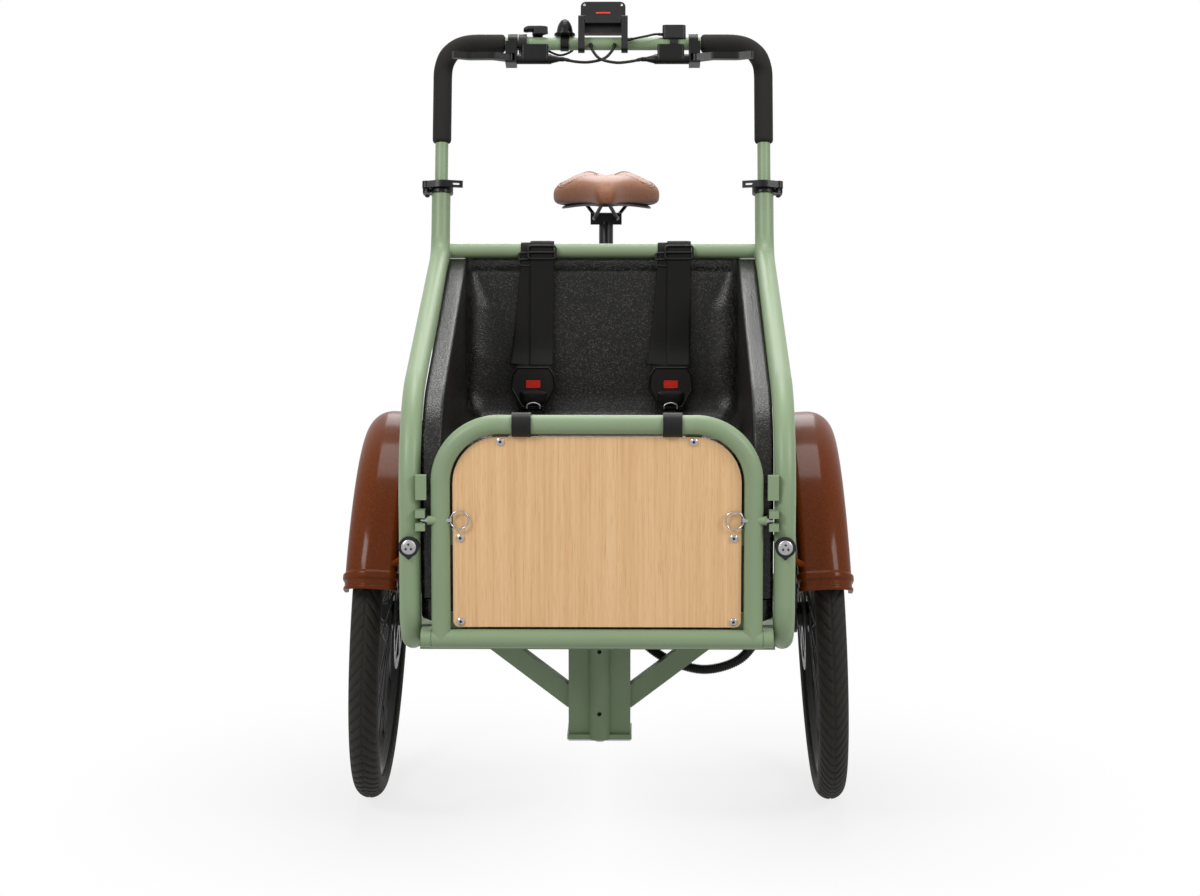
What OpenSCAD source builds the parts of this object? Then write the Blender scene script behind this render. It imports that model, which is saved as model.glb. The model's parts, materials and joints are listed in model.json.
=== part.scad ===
/* [Front frame] */
// Half distance between the two side rails
rail_x = 275; // [265:1:290]
// Outer diameter of the side rails
rail_d = 31.8; // [28:0.1:35]
// Height of the bottom rail's centre line
rail_floor_z = 322; // [312:1:332]
// How far the front tubes stand ahead of the front axle
rail_front = 385; // [370:1:400]
// How far the rear posts stand behind the front axle
rail_rear = 300; // [290:1:320]
// Height of the corner where the upright meets the sloping rail
rail_corner_z = 862; // [840:1:880]
// Distance of that corner behind the front axle
rail_corner_y = 290; // [280:1:300]
// Fall of the sloping rail, in degrees
rail_fall = 16.4; // [12:0.1:20]
// Lean of the uprights and the handlebar, in degrees
bar_lean = 16.5; // [12:0.1:20]
// Length of the upright above its corner
upright_len = 116; // [108:1:130]
// Centre line radius of the bend at the top of the front tubes
rail_bend_r = 180; // [120:1:200]
// Centre line radius of the other rail bends
rail_elbow_r = 60; // [50:1:70]
// Diameter of the cross tube behind the backrest
cross_d = 25.4; // [20:0.1:28]

/* [Tub] */
// Half width of the tub's inside
tub_half = 229; // [215:1:235]
// Wall of the moulded tub
tub_wall = 5; // [4:0.5:7]
// Height of the floor at its front edge
tub_floor_z = 345; // [341:1:352]
// Rise of the floor towards the bench, in degrees
tub_floor_rise = 8.5; // [4:0.1:10]
// Height of the bench
bench_z = 580; // [560:1:600]
// Distance of the bench's front edge behind the front axle
bench_y = 60; // [40:1:80]
// Distance of the backrest's foot behind the front axle
back_y = 262; // [250:1:270]
// Lean of the backrest, in degrees
back_lean = 6; // [3:0.1:9]
// Radius between the tub's walls and its floor
tub_fillet = 34; // [20:1:40]

/* [Footboard] */
// Width of the footboard
board_w = 334; // [300:1:380]
// Length of the footboard along the floor
board_len = 262; // [220:1:300]
// Height of the footboard's lip above the floor
board_lip = 25; // [20:1:30]
// Thickness of the footboard sheet
board_t = 2.5; // [2:0.5:4]
// Diameter of the footboard's holes
board_hole_d = 5; // [3:0.5:7]

/* [Door] */
// Half width of the door over its tubes
door_half = 243; // [236:1:246]
// Diameter of the door's tubes
door_tube_d = 28; // [24:0.1:30]
// Height of the hinge line
hinge_z = 333; // [328:1:340]
// Height of the door above its hinge line
door_rise = 331; // [310:1:345]
// Centre line radius of the door's top corners
door_corner_r = 86; // [70:1:100]
// Thickness of the wooden panel
panel_t = 9; // [6:0.5:12]
// Gap between the panel and the door's tubes
panel_gap = 4; // [2:0.5:8]
// Diameter of the hinge pins
hinge_pin_d = 12; // [8:0.5:14]
// Diameter of the latch pins
latch_d = 7; // [5:0.5:9]
// Height of the latch pins above the hinge line
latch_rise = 177; // [165:1:190]
// Travel of a latch pin
latch_travel = 13; // [8:0.5:14]
// Diameter of the latch pins' split rings
ring_d = 29; // [24:1:34]

/* [Handlebar] */
// Diameter of the handlebar tube
bar_d = 22.2; // [20:0.1:24]
// Height of the crossbar above the rail corner, along the upright
bar_rise = 370; // [350:1:390]
// Centre line radius of the handlebar's corners
bar_corner_r = 60; // [50:1:75]
// Length of leg held inside each upright
bar_insert = 86; // [80:1:92]
// Diameter of the foam grips
grip_d = 32; // [28:0.5:36]
// Half length of bare crossbar between the grips
grip_inner_x = 168; // [164:1:180]
// Height of the foam's lower end above the rail corner, along the upright
grip_low = 193; // [180:1:220]

/* [Front wheels] */
// Rolling radius of the front wheels
front_r = 298; // [285:1:310]
// Width of the front tyres
tyre_w = 46; // [38:1:50]
// Half track at the front hubs
half_track = 354; // [350:1:362]
// Camber of the front wheels, in degrees
camber = 3; // [0:0.5:4]
// Number of spokes in a front wheel
front_spokes = 28; // [20:4:36]
// Diameter of the front brake discs
disc_d = 180; // [160:1:180]
// Clearance between a fender and its tyre
fender_gap = 24; // [18:1:30]
// Wall of the fenders
fender_wall = 4; // [3:0.5:5]

/* [Steering] */
// Distance of the steering axis behind the front axle
king_y = -60; // [-80:1:-50]
// Height of the steering post's bottom plate
post_low_z = 122; // [112:1:135]
// Width of the steering post
post_w = 98; // [90:1:110]
// Diameter of the kingpin
king_d = 20; // [16:0.5:24]
// Outer diameter of the head tube
head_d = 50; // [46:0.5:54]

/* [Rear half] */
// Distance of the rear axle behind the front axle
wheelbase = 1200; // [1180:1:1250]
// Rolling radius of the rear wheel
rear_r = 325; // [310:1:335]
// Number of spokes in the rear wheel
rear_spokes = 32; // [24:4:36]
// Room for the battery between the crank axle and the rear tyre
battery_room = 155; // [145:1:165]
// Height of the crank axle
crank_z = 292; // [280:1:310]
// Length of the crank arms
crank_len = 165; // [150:1:170]
// Tilt of the seat tube from upright, in degrees
seat_lean = 20; // [16:0.1:24]
// Length of the seat tube
seat_tube_len = 470; // [440:1:500]
// Diameter of the seat post
seatpost_d = 27.2; // [25:0.1:30]
// Height of the saddle's rails above the top of the seat tube
seatpost_out = 175; // [140:1:200]
// Width of the saddle
saddle_w = 210; // [190:1:230]
// Length of the saddle
saddle_len = 262; // [240:1:290]
// Teeth on the chainring
chainring_teeth = 38; // [32:1:42]
// Teeth on the rear sprocket
sprocket_teeth = 20; // [16:1:22]
// Pitch of the chain
chain_pitch = 12.7; // [12:0.1:13]

/* [Hidden] */
crank_y = wheelbase - rear_r - battery_room;
$fn = 48;

// Gap between pieces that are fixed to each other
seat = 0.05;
// Radial clearance of a shaft that turns or slides
run = 0.05;
// Gap between pieces that move past each other
pass = 0.6;

sage = [0.56, 0.65, 0.51];
black = [0.13, 0.13, 0.13];
steel = [0.75, 0.75, 0.77];
oak = [0.85, 0.70, 0.52];
brown = [0.40, 0.20, 0.10];
tan_leather = [0.55, 0.37, 0.27];
charcoal = [0.18, 0.17, 0.16];
signal_red = [0.80, 0.13, 0.10];

// Rail corners in the side plane, as [distance behind the front axle, height]
lean_dir = [sin(bar_lean), cos(bar_lean)];
rail_corner = [rail_corner_y, rail_corner_z];
rail_top = rail_corner + upright_len * lean_dir;
rail_front_top = [-rail_front, rail_corner_z - (rail_corner_y + rail_front) * tan(rail_fall)];
rail_front_low = [-rail_front, rail_floor_z];
rail_rear_low = [rail_rear, rail_floor_z];
rail_rear_top = [rail_rear, rail_corner_z + rail_d / 2];
rail_path = [rail_top, rail_corner, rail_front_top, rail_front_low, rail_rear_low, rail_rear_top];
rail_radii = [0, rail_elbow_r, rail_bend_r, rail_elbow_r, rail_elbow_r, 0];
rail_inner = rail_x - rail_d / 2;

// The door hangs ahead of the front tubes
door_y = -rail_front - 10;
door_tube_x = door_half - door_tube_d / 2;
door_top_z = hinge_z + door_rise - door_tube_d / 2;
bumper_t = 3.5;

// The part stands with the middle of its footprint at the origin
rear_fender_r = rear_r + 22;
front_end = door_y - door_tube_d / 2 - bumper_t;
rear_end = wheelbase + rear_fender_r;
y_mid = (front_end + rear_end) / 2;

// Unit vector along v
function unit(v) = v / norm(v);

// A point [y, z] of the side plane placed at width x
function side(x, p) = [x, p[0], p[1]];

// Turn of a path at its inner point i, in degrees
function turn(p, i) = acos(min(1, unit(p[i] - p[i - 1]) * unit(p[i + 1] - p[i])));

// Distance from corner i at which its bend starts
function setback(p, r, i) = (i == 0 || i == len(p) - 1) ? 0 : r[i] * tan(turn(p, i) / 2);

// Points of a flat path whose inner corners are rounded by arcs of n steps
function round_path(p, r, n = 6) = [
    for (i = [0 : len(p) - 1])
        if (i == 0 || i == len(p) - 1 || r[i] == 0) p[i]
        else let (
            d1 = unit(p[i] - p[i - 1]),
            d2 = unit(p[i + 1] - p[i]),
            s = setback(p, r, i),
            start = p[i] - s * d1,
            centre = start + r[i] * unit(d2 - (d2 * d1) * d1),
            out = unit(start - centre)
        )
        each [for (k = [0 : n]) centre + r[i]
            * (cos(turn(p, i) * k / n) * out + sin(turn(p, i) * k / n) * d1)]
];

// Running length of a path up to each of its points
function run_lengths(p) = [
    for (i = 0, s = 0; i < len(p); i = i + 1, s = s + (i < len(p) ? norm(p[i] - p[i - 1]) : 0)) s
];

// Point at share f of a path's length
function along(p, f, s) = let (
    t = f * s[len(s) - 1],
    k = [for (i = [1 : len(s) - 1]) if (s[i] >= t - 0.0001) i][0],
    w = (t - s[k - 1]) / max(0.0001, s[k] - s[k - 1])
) p[k - 1] + min(1, w) * (p[k] - p[k - 1]);

// Moves its children into the part's frame
module placed() {
    translate([0, -y_mid, 0]) children();
}

// Both sides of a mirrored piece
module both() {
    children();
    mirror([1, 0, 0]) children();
}

// A round rod from a to b
module rod(a, b, d) {
    v = b - a;
    translate(a)
        rotate([0, acos(v[2] / norm(v)), atan2(v[1], v[0])])
            cylinder(d = d, h = norm(v));
}

// Bends are a little thicker than the rods, whose ends lap into them
bend_swell = 0.15;
bend_lap = 1.5;
function lapped(p, r, i) = max(0, setback(p, r, i) - bend_lap);

// A bent round rod through the points p with bend radii r
module bent_rod(p, r, d) {
    for (i = [0 : len(p) - 2]) {
        v = unit(p[i + 1] - p[i]);
        rod(p[i] + v * lapped(p, r, i), p[i + 1] - v * lapped(p, r, i + 1), d);
    }
    for (i = [1 : len(p) - 2])
        elbow(p[i], unit(p[i] - p[i - 1]), unit(p[i + 1] - p[i]), r[i], d + 2 * bend_swell);
}

// The bend of a rod at corner c, from direction d1 to direction d2
module elbow(c, d1, d2, r, d) {
    bend = acos(d1 * d2);
    inward = unit(d2 - (d2 * d1) * d1);
    centre = c - r * tan(bend / 2) * d1 + r * inward;
    z = cross(-inward, d1);
    multmatrix([
        [-inward[0], d1[0], z[0], centre[0]],
        [-inward[1], d1[1], z[1], centre[1]],
        [-inward[2], d1[2], z[2], centre[2]],
        [0, 0, 0, 1]
    ])
        rotate_extrude(angle = bend) translate([r, 0]) circle(d = d);
}

// A flat shape in the plane of y and z, given thickness t from x upwards
module side_plate(x, t) {
    translate([x, 0, 0])
        rotate([90, 0, 90])
            linear_extrude(t) children();
}

// A rectangle with rounded corners, centred
module rounded(w, h, r) {
    polygon(round_path(
        [[0, -h / 2], [w / 2, -h / 2], [w / 2, h / 2], [-w / 2, h / 2], [-w / 2, -h / 2], [0, -h / 2]],
        [0, r, r, r, r, 0]
    ));
}

// A box with rounded edges along z, centred on x and y
module rounded_block(w, l, h, r) {
    linear_extrude(h) rounded(w, l, r);
}

// A tube of few sides swept along the points p
module swept(p, d, sides = 8) {
    n = len(p);
    tangent = [for (i = [0 : n - 1]) unit(p[min(n - 1, i + 1)] - p[max(0, i - 1)])];
    guide = abs(unit(p[n - 1] - p[0]) * [0, 1, 0]) > 0.8 ? [1, 0, 0] : [0, 1, 0];
    points = [
        for (i = [0 : n - 1])
            let (a = unit(cross(tangent[i], guide)), b = cross(tangent[i], a))
            for (k = [0 : sides - 1]) p[i] + d / 2 * (cos(360 * k / sides) * a + sin(360 * k / sides) * b)
    ];
    faces = [
        [for (k = [0 : sides - 1]) k],
        [for (k = [sides - 1 : -1 : 0]) (n - 1) * sides + k],
        for (i = [0 : n - 2]) for (k = [0 : sides - 1])
            let (a = i * sides + k, b = i * sides + (k + 1) % sides)
            each [[a, a + sides, b], [b, a + sides, b + sides]]
    ];
    polyhedron(points, faces);
}

// Smooth points through the knots q, m to each span
function spline(q, m) = [
    for (i = [0 : len(q) - 2])
        let (a = q[max(0, i - 1)], b = q[i], c = q[i + 1], d = q[min(len(q) - 1, i + 2)])
        for (k = [0 : (i == len(q) - 2 ? m : m - 1)])
            let (t = k / m)
            0.5 * (2 * b + (c - a) * t + (2 * a - 5 * b + 4 * c - d) * t * t + (3 * b - a - 3 * c + d)
                * t * t * t)
];

// Places children on the upright's axis, with z along it from the rail corner
module on_upright() {
    translate([0, rail_corner_y, rail_corner_z]) rotate([-bar_lean, 0, 0]) children();
}

// Places children at the crossbar's middle, with x along it
module on_bar() {
    on_upright() translate([0, 0, bar_rise]) children();
}

// Floor cross members and the steering post hang under the bottom rails
member_w = 40;
member_h = 30;
member_low_z = rail_floor_z - rail_d / 2 + 1;
post_plate_t = 8;
post_top_z = member_low_z - seat;
head_gap = 0.4;
head_low_z = post_low_z + head_gap;
head_high_z = post_top_z - post_plate_t - head_gap;
web_t = 6;
web_y = king_y - head_d / 2 - 10;
rib_d = 34;
rib_hole_d = 7;
rib_hole_gap = 100;
rib_hole_z = post_low_z + 35;
brace_s = 30;

// Height of the tub's floor at distance y behind the front axle
function floor_at(y) = tub_floor_z + (y + rail_front) * tan(tub_floor_rise);

module rail_rods(x, extra = 0) {
    bent_rod([for (p = rail_path) side(x, p)], rail_radii, rail_d + 2 * extra);
}

module leg_bore(x) {
    on_upright()
        translate([x, 0, upright_len - bar_insert - 2])
            cylinder(d = bar_d + 2 * run, h = bar_insert + 40);
}

module side_rails() placed() color(sage)
    for (s = [-1, 1]) difference() {
        rail_rods(s * rail_x);
        leg_bore(s * rail_x);
    }

module top_cross_tube() placed() color(sage)
    difference() {
        rod([-rail_x, rail_corner_y + 4, rail_corner_z + 4],
            [rail_x, rail_corner_y + 4, rail_corner_z + 4], cross_d);
        for (s = [-1, 1]) rail_rods(s * rail_x, seat);
        for (s = [-1, 1]) leg_bore(s * rail_x);
    }

// A cross member between the bottom rails with its middle at y and its top at z
module cross_member(y, low, top) {
    translate([-rail_x + rail_d / 3, y - member_w / 2, low])
        cube([2 * rail_x - 2 * rail_d / 3, member_w, top - low]);
}

member_front_y = -rail_front + 60;
member_rear_y = rail_rear - 60;
pad_x = 120;

module floor_frame() placed() color(sage)
    difference() {
        union() {
            cross_member(member_front_y, member_low_z, floor_at(member_front_y - member_w / 2)
                - tub_wall - 2 * pass);
            cross_member(king_y - brace_s / 2, member_low_z, member_low_z + member_h);
            cross_member(member_rear_y, member_low_z, member_low_z + member_h);
            for (s = [-1, 1])
                translate([s * pad_x - 20, king_y - brace_s / 2 - member_w / 2, member_low_z])
                    cube([40, 20, floor_at(king_y - brace_s / 2 - member_w / 2)
                        - tub_wall - 2 * pass - member_low_z]);
        }
        for (s = [-1, 1]) rail_rods(s * rail_x, seat);
    }

module brace() {
    low = [post_w / 2 - 8, 0, post_low_z + 52];
    high = [rail_x - 40, 0, rail_floor_z];
    v = high - low;
    translate([0, king_y - brace_s - 2, 0])
        translate(low)
            rotate([0, 90 - atan2(v[2], v[0]), 0])
                translate([-brace_s / 2, 0, 0])
                    cube([brace_s, brace_s, norm(v)]);
}

module steering_post() placed() color(sage)
    difference() {
        union() {
            translate([-post_w / 2, web_y - web_t, post_low_z - post_plate_t])
                cube([post_w, web_t, post_top_z - post_low_z + post_plate_t]);
            translate([0, web_y - web_t, post_low_z - post_plate_t])
                cylinder(d = rib_d, h = post_top_z - post_low_z + post_plate_t);
            for (z = [post_low_z - post_plate_t, post_top_z - post_plate_t])
                translate([-post_w / 2 - 2, web_y - web_t - 8, z])
                    cube([post_w + 4, king_y - web_y + head_d / 2 + 16 + web_t, post_plate_t]);
            both() translate([post_w / 2 - web_t, web_y - 1, post_low_z - 1])
                cube([web_t, king_y - web_y, post_top_z - post_low_z]);
            both() brace();
        }
        translate([-post_w / 2 + web_t, web_y, post_low_z])
            cube([post_w - 2 * web_t, head_d, post_top_z - post_low_z - post_plate_t]);
        translate([-rail_x, king_y - 200, post_top_z]) cube([2 * rail_x, 300, 100]);
        translate([0, king_y, 0]) cylinder(d = king_d + 2 * seat, h = rail_floor_z);
        for (k = [0, 1])
            translate([0, web_y - web_t, rib_hole_z + k * rib_hole_gap])
                rotate([90, 0, 0])
                    cylinder(d = rib_hole_d, h = rib_d);
    }

module kingpin() placed() color(steel) {
    bottom = post_low_z - post_plate_t;
    translate([0, king_y, bottom - 4]) cylinder(d = king_d, h = post_top_z - bottom + 3.5);
    translate([-post_w / 2, king_y - head_d / 2 - 20, bottom - 3 - seat]) cube([post_w, head_d + 30, 3]);
    intersection() {
        translate([0, king_y, bottom - 3 - seat]) sphere(d = 26);
        translate([-20, king_y - 20, bottom - 14 - seat]) cube([40, 40, 11]);
    }
}

// The tub's floor, bench and backrest in the side plane, and its rim along the rails
tub_front_y = -rail_front + 8;
rim_drop = 6;
rim_x = rail_inner - 0.3;
rim_r = 6;
strap_room = 2.9;
tub_top_z = rail_corner_z + 4 - cross_d / 2 - strap_room;
bench_foot_y = bench_y - 14;
back_top_y = back_y + (tub_top_z - bench_z) * tan(back_lean);
function on_floor(y) = [y, floor_at(y)];
function on_back(f) = [back_y, bench_z] + f * [back_top_y - back_y, tub_top_z - bench_z];
tub_path = round_path(
    [
        on_floor(tub_front_y), on_floor(tub_front_y + 80), on_floor(tub_front_y + 180),
            on_floor(tub_front_y + 290),
        on_floor(bench_foot_y), [bench_y, bench_z], [(bench_y + back_y) / 2, bench_z],
        [back_y, bench_z], on_back(0.4), on_back(0.7), on_back(1), on_back(1) + [18, 0]
    ],
    [0, 0, 0, 0, 36, 28, 0, 50, 0, 0, 12, 0], 4
);
rim_front_top = [tub_front_y, rail_front_top[1] + 8 * tan(rail_fall) - rim_drop];
rim_rear = [rail_corner_y - 40, rail_corner_z - 40 * tan(rail_fall) - rim_drop];
rim_start = [tub_front_y, floor_at(tub_front_y) + tub_fillet + rim_r + 2];
rim_path = round_path([rim_start, rim_front_top, rim_rear], [0, rail_bend_r - 10, 0], 8);
rim_share = [[0, 0], [0.39, 0.395], [0.55, 0.585], [0.735, 0.82], [1, 1]];
rim_points = let (s = run_lengths(tub_path), r = run_lengths(rim_path)) [
    for (v = s) along(rim_path, lookup(v / s[len(s) - 1], rim_share), r)
];

// Path p moved by d to its right, seen along its run
function beside(p, d) = [
    for (i = [0 : len(p) - 1])
        let (t = unit(p[min(len(p) - 1, i + 1)] - p[max(0, i - 1)]))
        p[i] + d * [t[1], -t[0]]
];

// Half a cross section as [width, height], for a wall at w, a corner radius r and a rim at height h
function tub_half_section(w, r, h) = [
    [0, 0], [w / 2, 0],
    for (a = [0 : 22.5 : 90]) [w - r + r * sin(a), r - r * cos(a)],
    [w, h - rim_r], [w + 0.3 * rim_r, h - 0.3 * rim_r], [w + rim_r, h], [rim_x, h]
];
function mirrored(q) = concat(
    [for (i = [len(q) - 1 : -1 : 1]) [-q[i][0], q[i][1]]],
    q
);

// One skin of the tub: its rows of points from the front edge to the top
function tub_skin(low, high, w, r) = [
    for (i = [0 : len(low) - 1])
        let (h = norm(high[i] - low[i]), up = (high[i] - low[i]) / h)
        for (q = mirrored(tub_half_section(w, r, h))) side(q[0], low[i] + q[1] * up)
];

// A closed shell between two skins of n rows with m points each
module shell(inner, outer, n, m) {
    k = n * m;
    quads = [
        for (i = [0 : n - 2]) for (j = [0 : m - 2])
            let (a = i * m + j)
            each [[a, a + 1, a + m + 1, a + m], [k + a, k + a + m, k + a + m + 1, k + a + 1]],
        for (i = [0 : n - 2]) each [
            [i * m, i * m + m, k + i * m + m, k + i * m],
            [i * m + m - 1, k + i * m + m - 1, k + i * m + 2 * m - 1, i * m + 2 * m - 1]
        ],
        for (j = [0 : m - 2]) each [
            [j, k + j, k + j + 1, j + 1],
            [(n - 1) * m + j, (n - 1) * m + j + 1, k + (n - 1) * m + j + 1, k + (n - 1) * m + j]
        ]
    ];
    polyhedron(concat(inner, outer), [for (q = quads) each [[q[0], q[2], q[1]], [q[0], q[3], q[2]]]]);
}

module tub() placed() color(charcoal) {
    n = len(tub_path);
    m = len(mirrored(tub_half_section(tub_half, tub_fillet, 100)));
    shell(
        tub_skin(tub_path, rim_points, tub_half, tub_fillet),
        tub_skin(beside(tub_path, tub_wall), beside(rim_points, tub_wall), tub_half + tub_wall, tub_fillet),
        n, m
    );
}

// The footboard stands on the sloping floor
board_cols = 10;
board_rows = 9;
module on_floor_front() {
    translate([0, tub_front_y + 4, floor_at(tub_front_y + 4)]) rotate([tub_floor_rise, 0, 0]) children();
}

module footboard() placed() color(steel)
    on_floor_front() difference() {
        translate([-board_w / 2, 0, pass / 2]) cube([board_w, board_len, board_lip]);
        translate([-board_w / 2 - 1, board_t, -1])
            cube([board_w + 2, board_len - 2 * board_t, board_lip + 1 + pass / 2 - board_t]);
        for (i = [0 : board_cols - 1], j = [0 : board_rows - 1])
            translate([
                (i - (board_cols - 1) / 2) * (board_w - 60) / (board_cols - 1),
                24 + j * (board_len - 48) / (board_rows - 1),
                0
            ])
                cylinder(d = board_hole_d, h = 2 * board_lip);
    }

// Quick release clamps close the tops of the uprights on the handlebar's legs
clamp_wall = 4.5;
clamp_h = 18;
clamp_base = upright_len - 12;
cam_x = rail_d / 2 + 9;
cam_y = -rail_d / 2;
cam_d = 13;
cam_pin_d = 5;
lever_low = 6.2;
lever_h = 11.6;
module on_clamp(s) {
    on_upright() translate([s * rail_x, 0, clamp_base]) mirror([s < 0 ? 1 : 0, 0, 0]) children();
}

module height_clamps() placed() color(black)
    for (s = [-1, 1]) on_clamp(s) {
        difference() {
            union() {
                cylinder(d = rail_d + 2 * clamp_wall, h = clamp_h);
                translate([0, -9, 0]) cube([cam_x + 6, 18, 7]);
            }
            translate([0, 0, -1]) cylinder(d = rail_d + 2 * seat, h = upright_len - clamp_base + 1 + seat);
            cylinder(d = bar_d + 2 * run, h = clamp_h + 1);
            translate([0, -1.5, -1]) cube([cam_x + 10, 3, clamp_h + 2]);
        }
        translate([cam_x, cam_y, 0]) cylinder(d = cam_pin_d, h = lever_low + lever_h + 0.4);
        translate([cam_x, 14, 3]) rotate([90, 0, 0]) cylinder(d = 5.5, h = 14 - cam_y + 2);
        translate([cam_x, 17, 3]) rotate([90, 0, 0]) cylinder(d = 10, h = 5);
    }

module clamp_lever(s) placed() color(black)
    on_clamp(s) translate([0, 0, lever_low]) difference() {
        union() {
            translate([cam_x, cam_y, 0]) cylinder(d = cam_d, h = lever_h);
            linear_extrude(lever_h) polygon(round_path(
                [
                    [cam_x, cam_y - 3], [cam_x - 2, cam_y - 5], [0, cam_y - 14], [-38, cam_y - 6],
                    [-38, cam_y - 1], [0, cam_y - 8], [cam_x - 3, cam_y + 2], [cam_x, cam_y - 3]
                ],
                [0, 0, 30, 2, 2, 20, 0, 0]
            ));
        }
        translate([cam_x, cam_y, -1]) cylinder(d = cam_pin_d + 2 * run, h = lever_h + 2);
        translate([-26, cam_y - 20, lever_h / 2]) rotate([-90, 0, 0]) linear_extrude(30) rounded(13, 4, 1.8);
    }
module clamp_lever_left() clamp_lever(1);
module clamp_lever_right() clamp_lever(-1);

// Marker lights saddle the front tubes
light_z = 471;
light_d = 30;
light_y = -rail_front - rail_d / 2 - 7;
lens_d = 22;
lens_t = 3;
lens_dome = 3;
module marker_lights() placed() color(black)
    for (s = [-1, 1]) difference() {
        translate([s * rail_x, light_y, light_z]) rotate([-90, 0, 0]) union() {
            cylinder(d = light_d, h = 20);
            linear_extrude(20) polygon([[-12.4, 8.4], [0, 19], [12.4, 8.4], [0, 0]]);
        }
        translate([s * rail_x, light_y - 1, light_z]) rotate([-90, 0, 0])
            cylinder(d = lens_d + 2 * seat, h = lens_t);
        rail_rods(s * rail_x, seat);
        translate([s * rail_x - 20, -rail_front, light_z - 40]) cube([40, 40, 80]);
    }

module marker_lenses() placed() color([0.9, 0.9, 0.9])
    for (s = [-1, 1]) translate([s * rail_x, light_y + lens_t - 1 - seat, light_z])
        rotate([90, 0, 0])
            rotate_extrude() polygon(concat(
                [[0, 0], [lens_d / 2, 0]],
                [for (a = [0 : 15 : 90]) [lens_d / 2 * cos(a), lens_t - 1 + lens_dome * sin(a)]]
            ));

// Front wheels stand on stub axles, tilted by the camber
tyre_r = tyre_w / 2;
front_axle_z = (front_r - tyre_r) * cos(camber) + tyre_r;
bead_drop = 12;
rim_w = 30;
spoke_d = 2.2;
stub_d = 20;
hub_out = 38;
hub_in = -36;
hub_flange_d = 58;
hub_body_d = 40;
disc_t = 2;
disc_z = -28;
knuckle_d = 44;
knuckle_in = -60;

// Left hub: z runs outwards along the axle, x points down
module on_hub() {
    translate([half_track, 0, front_axle_z]) rotate([0, 90 - camber, 0]) children();
}

// A tyre of outer radius r and section radius c, flat where it seats on its rim
module tyre(r, c) {
    rotate_extrude($fn = 96) difference() {
        translate([r - c, 0]) circle(c);
        translate([0, -2 * c]) square([r - c - bead_drop, 4 * c]);
    }
}

// A wheel rim with a dropped well, seated inside its tyre's flat of radius r
module wheel_rim(r, w) {
    rotate_extrude($fn = 96) polygon([
        [r - seat, -w / 2], [r - seat, w / 2], [r - 7, w / 2], [r - 16, w / 5], [r - 16, -w / 5],
            [r - 7, -w / 2]
    ]);
}

// Spokes laced across the hub: from flanges at z1 and z2 to the rim's radius r
module spokes(count, flange_r, z1, z2, r) {
    for (k = [0 : count - 1]) {
        flange = k % 2 == 0 ? z1 : z2;
        way = floor(k / 2) % 2 == 0 ? 1 : -1;
        a = 360 * k / count;
        rod(
            [flange_r * cos(a + way * 62), flange_r * sin(a + way * 62), flange + way * 1.6],
            [r * cos(a), r * sin(a), 0.12 * flange],
            spoke_d, $fn = 16
        );
    }
}

module brake_disc(d) {
    linear_extrude(disc_t) difference() {
        circle(d = d);
        for (a = [0 : 60 : 300]) rotate(a)
            polygon(round_path(
                [[27, 0], [27, -8], [d / 2 - 18, -32], [d / 2 - 18, 26], [27, 4], [27, 0]],
                [0, 4, 6, 6, 2, 0]
            ));
        for (a = [0 : 15 : 345]) rotate(a + 4) translate([d / 2 - 9 + (a % 30 == 0 ? 3 : -3), 0])
            circle(d = 5, $fn = 16);
    }
}

module front_tyre_left() placed() color(black) on_hub() tyre(front_r, tyre_r);
module front_tyre_right() placed() color(black) mirror([1, 0, 0]) on_hub() tyre(front_r, tyre_r);

module front_wheel() {
    seat_r = front_r - tyre_r - bead_drop;
    difference() {
        union() {
            wheel_rim(seat_r, rim_w);
            spokes(front_spokes, hub_flange_d / 2 - 4, -16, 24, seat_r - 14);
            translate([0, 0, hub_in]) cylinder(d = hub_body_d, h = hub_out - hub_in - 3);
            translate([0, 0, hub_out - 3]) cylinder(d1 = hub_body_d, d2 = hub_body_d - 8, h = 3);
            for (z = [-19, 21]) translate([0, 0, z]) cylinder(d = hub_flange_d, h = 6);
            translate([0, 0, disc_z - disc_t / 2]) brake_disc(disc_d);
        }
        translate([0, 0, hub_in - 1]) cylinder(d = stub_d + 2 * run, h = hub_out - hub_in - 4);
    }
}
module front_wheel_left() placed() color(steel) on_hub() front_wheel();
module front_wheel_right() placed() color(steel) mirror([1, 0, 0]) on_hub() front_wheel();

axle_beam_d = 36;
axle_beam_z = rail_floor_z - rail_d / 2 - axle_beam_d / 2 - 2;
module front_axles() placed() color(sage)
    difference() {
        union() {
            rod([-rail_x - 26, 0, axle_beam_z], [rail_x + 26, 0, axle_beam_z], axle_beam_d);
            both() on_hub() translate([0, 0, knuckle_in])
                cylinder(d = knuckle_d, h = hub_in - 1.5 - knuckle_in);
            both() on_hub() translate([0, 0, knuckle_in]) cylinder(d = stub_d, h = hub_out - 8 - knuckle_in);
            for (s = [-1, 1]) translate([s * rail_x - 15, -24, axle_beam_z])
                cube([30, 48, axle_beam_d / 2 + 8]);
        }
        for (s = [-1, 1]) rail_rods(s * rail_x, seat);
    }

// Calipers straddle the discs behind and above the axles
caliper_at = 125;
module front_calipers() placed() color(black)
    both() on_hub() difference() {
        union() {
            rotate(caliper_at) translate([disc_d / 2 - 16, -28, -43]) cube([30, 56, 24.5]);
            rotate(caliper_at) translate([0, -16, -43]) cube([disc_d / 2, 32, 5]);
            translate([0, 0, -43]) cylinder(d = knuckle_d + 14, h = 5);
        }
        translate([0, 0, -50]) cylinder(d = knuckle_d + 2 * seat, h = 30);
        translate([0, 0, disc_z - disc_t / 2 - 1.2]) cylinder(d = disc_d + 3, h = disc_t + 2.4);
    }

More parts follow.
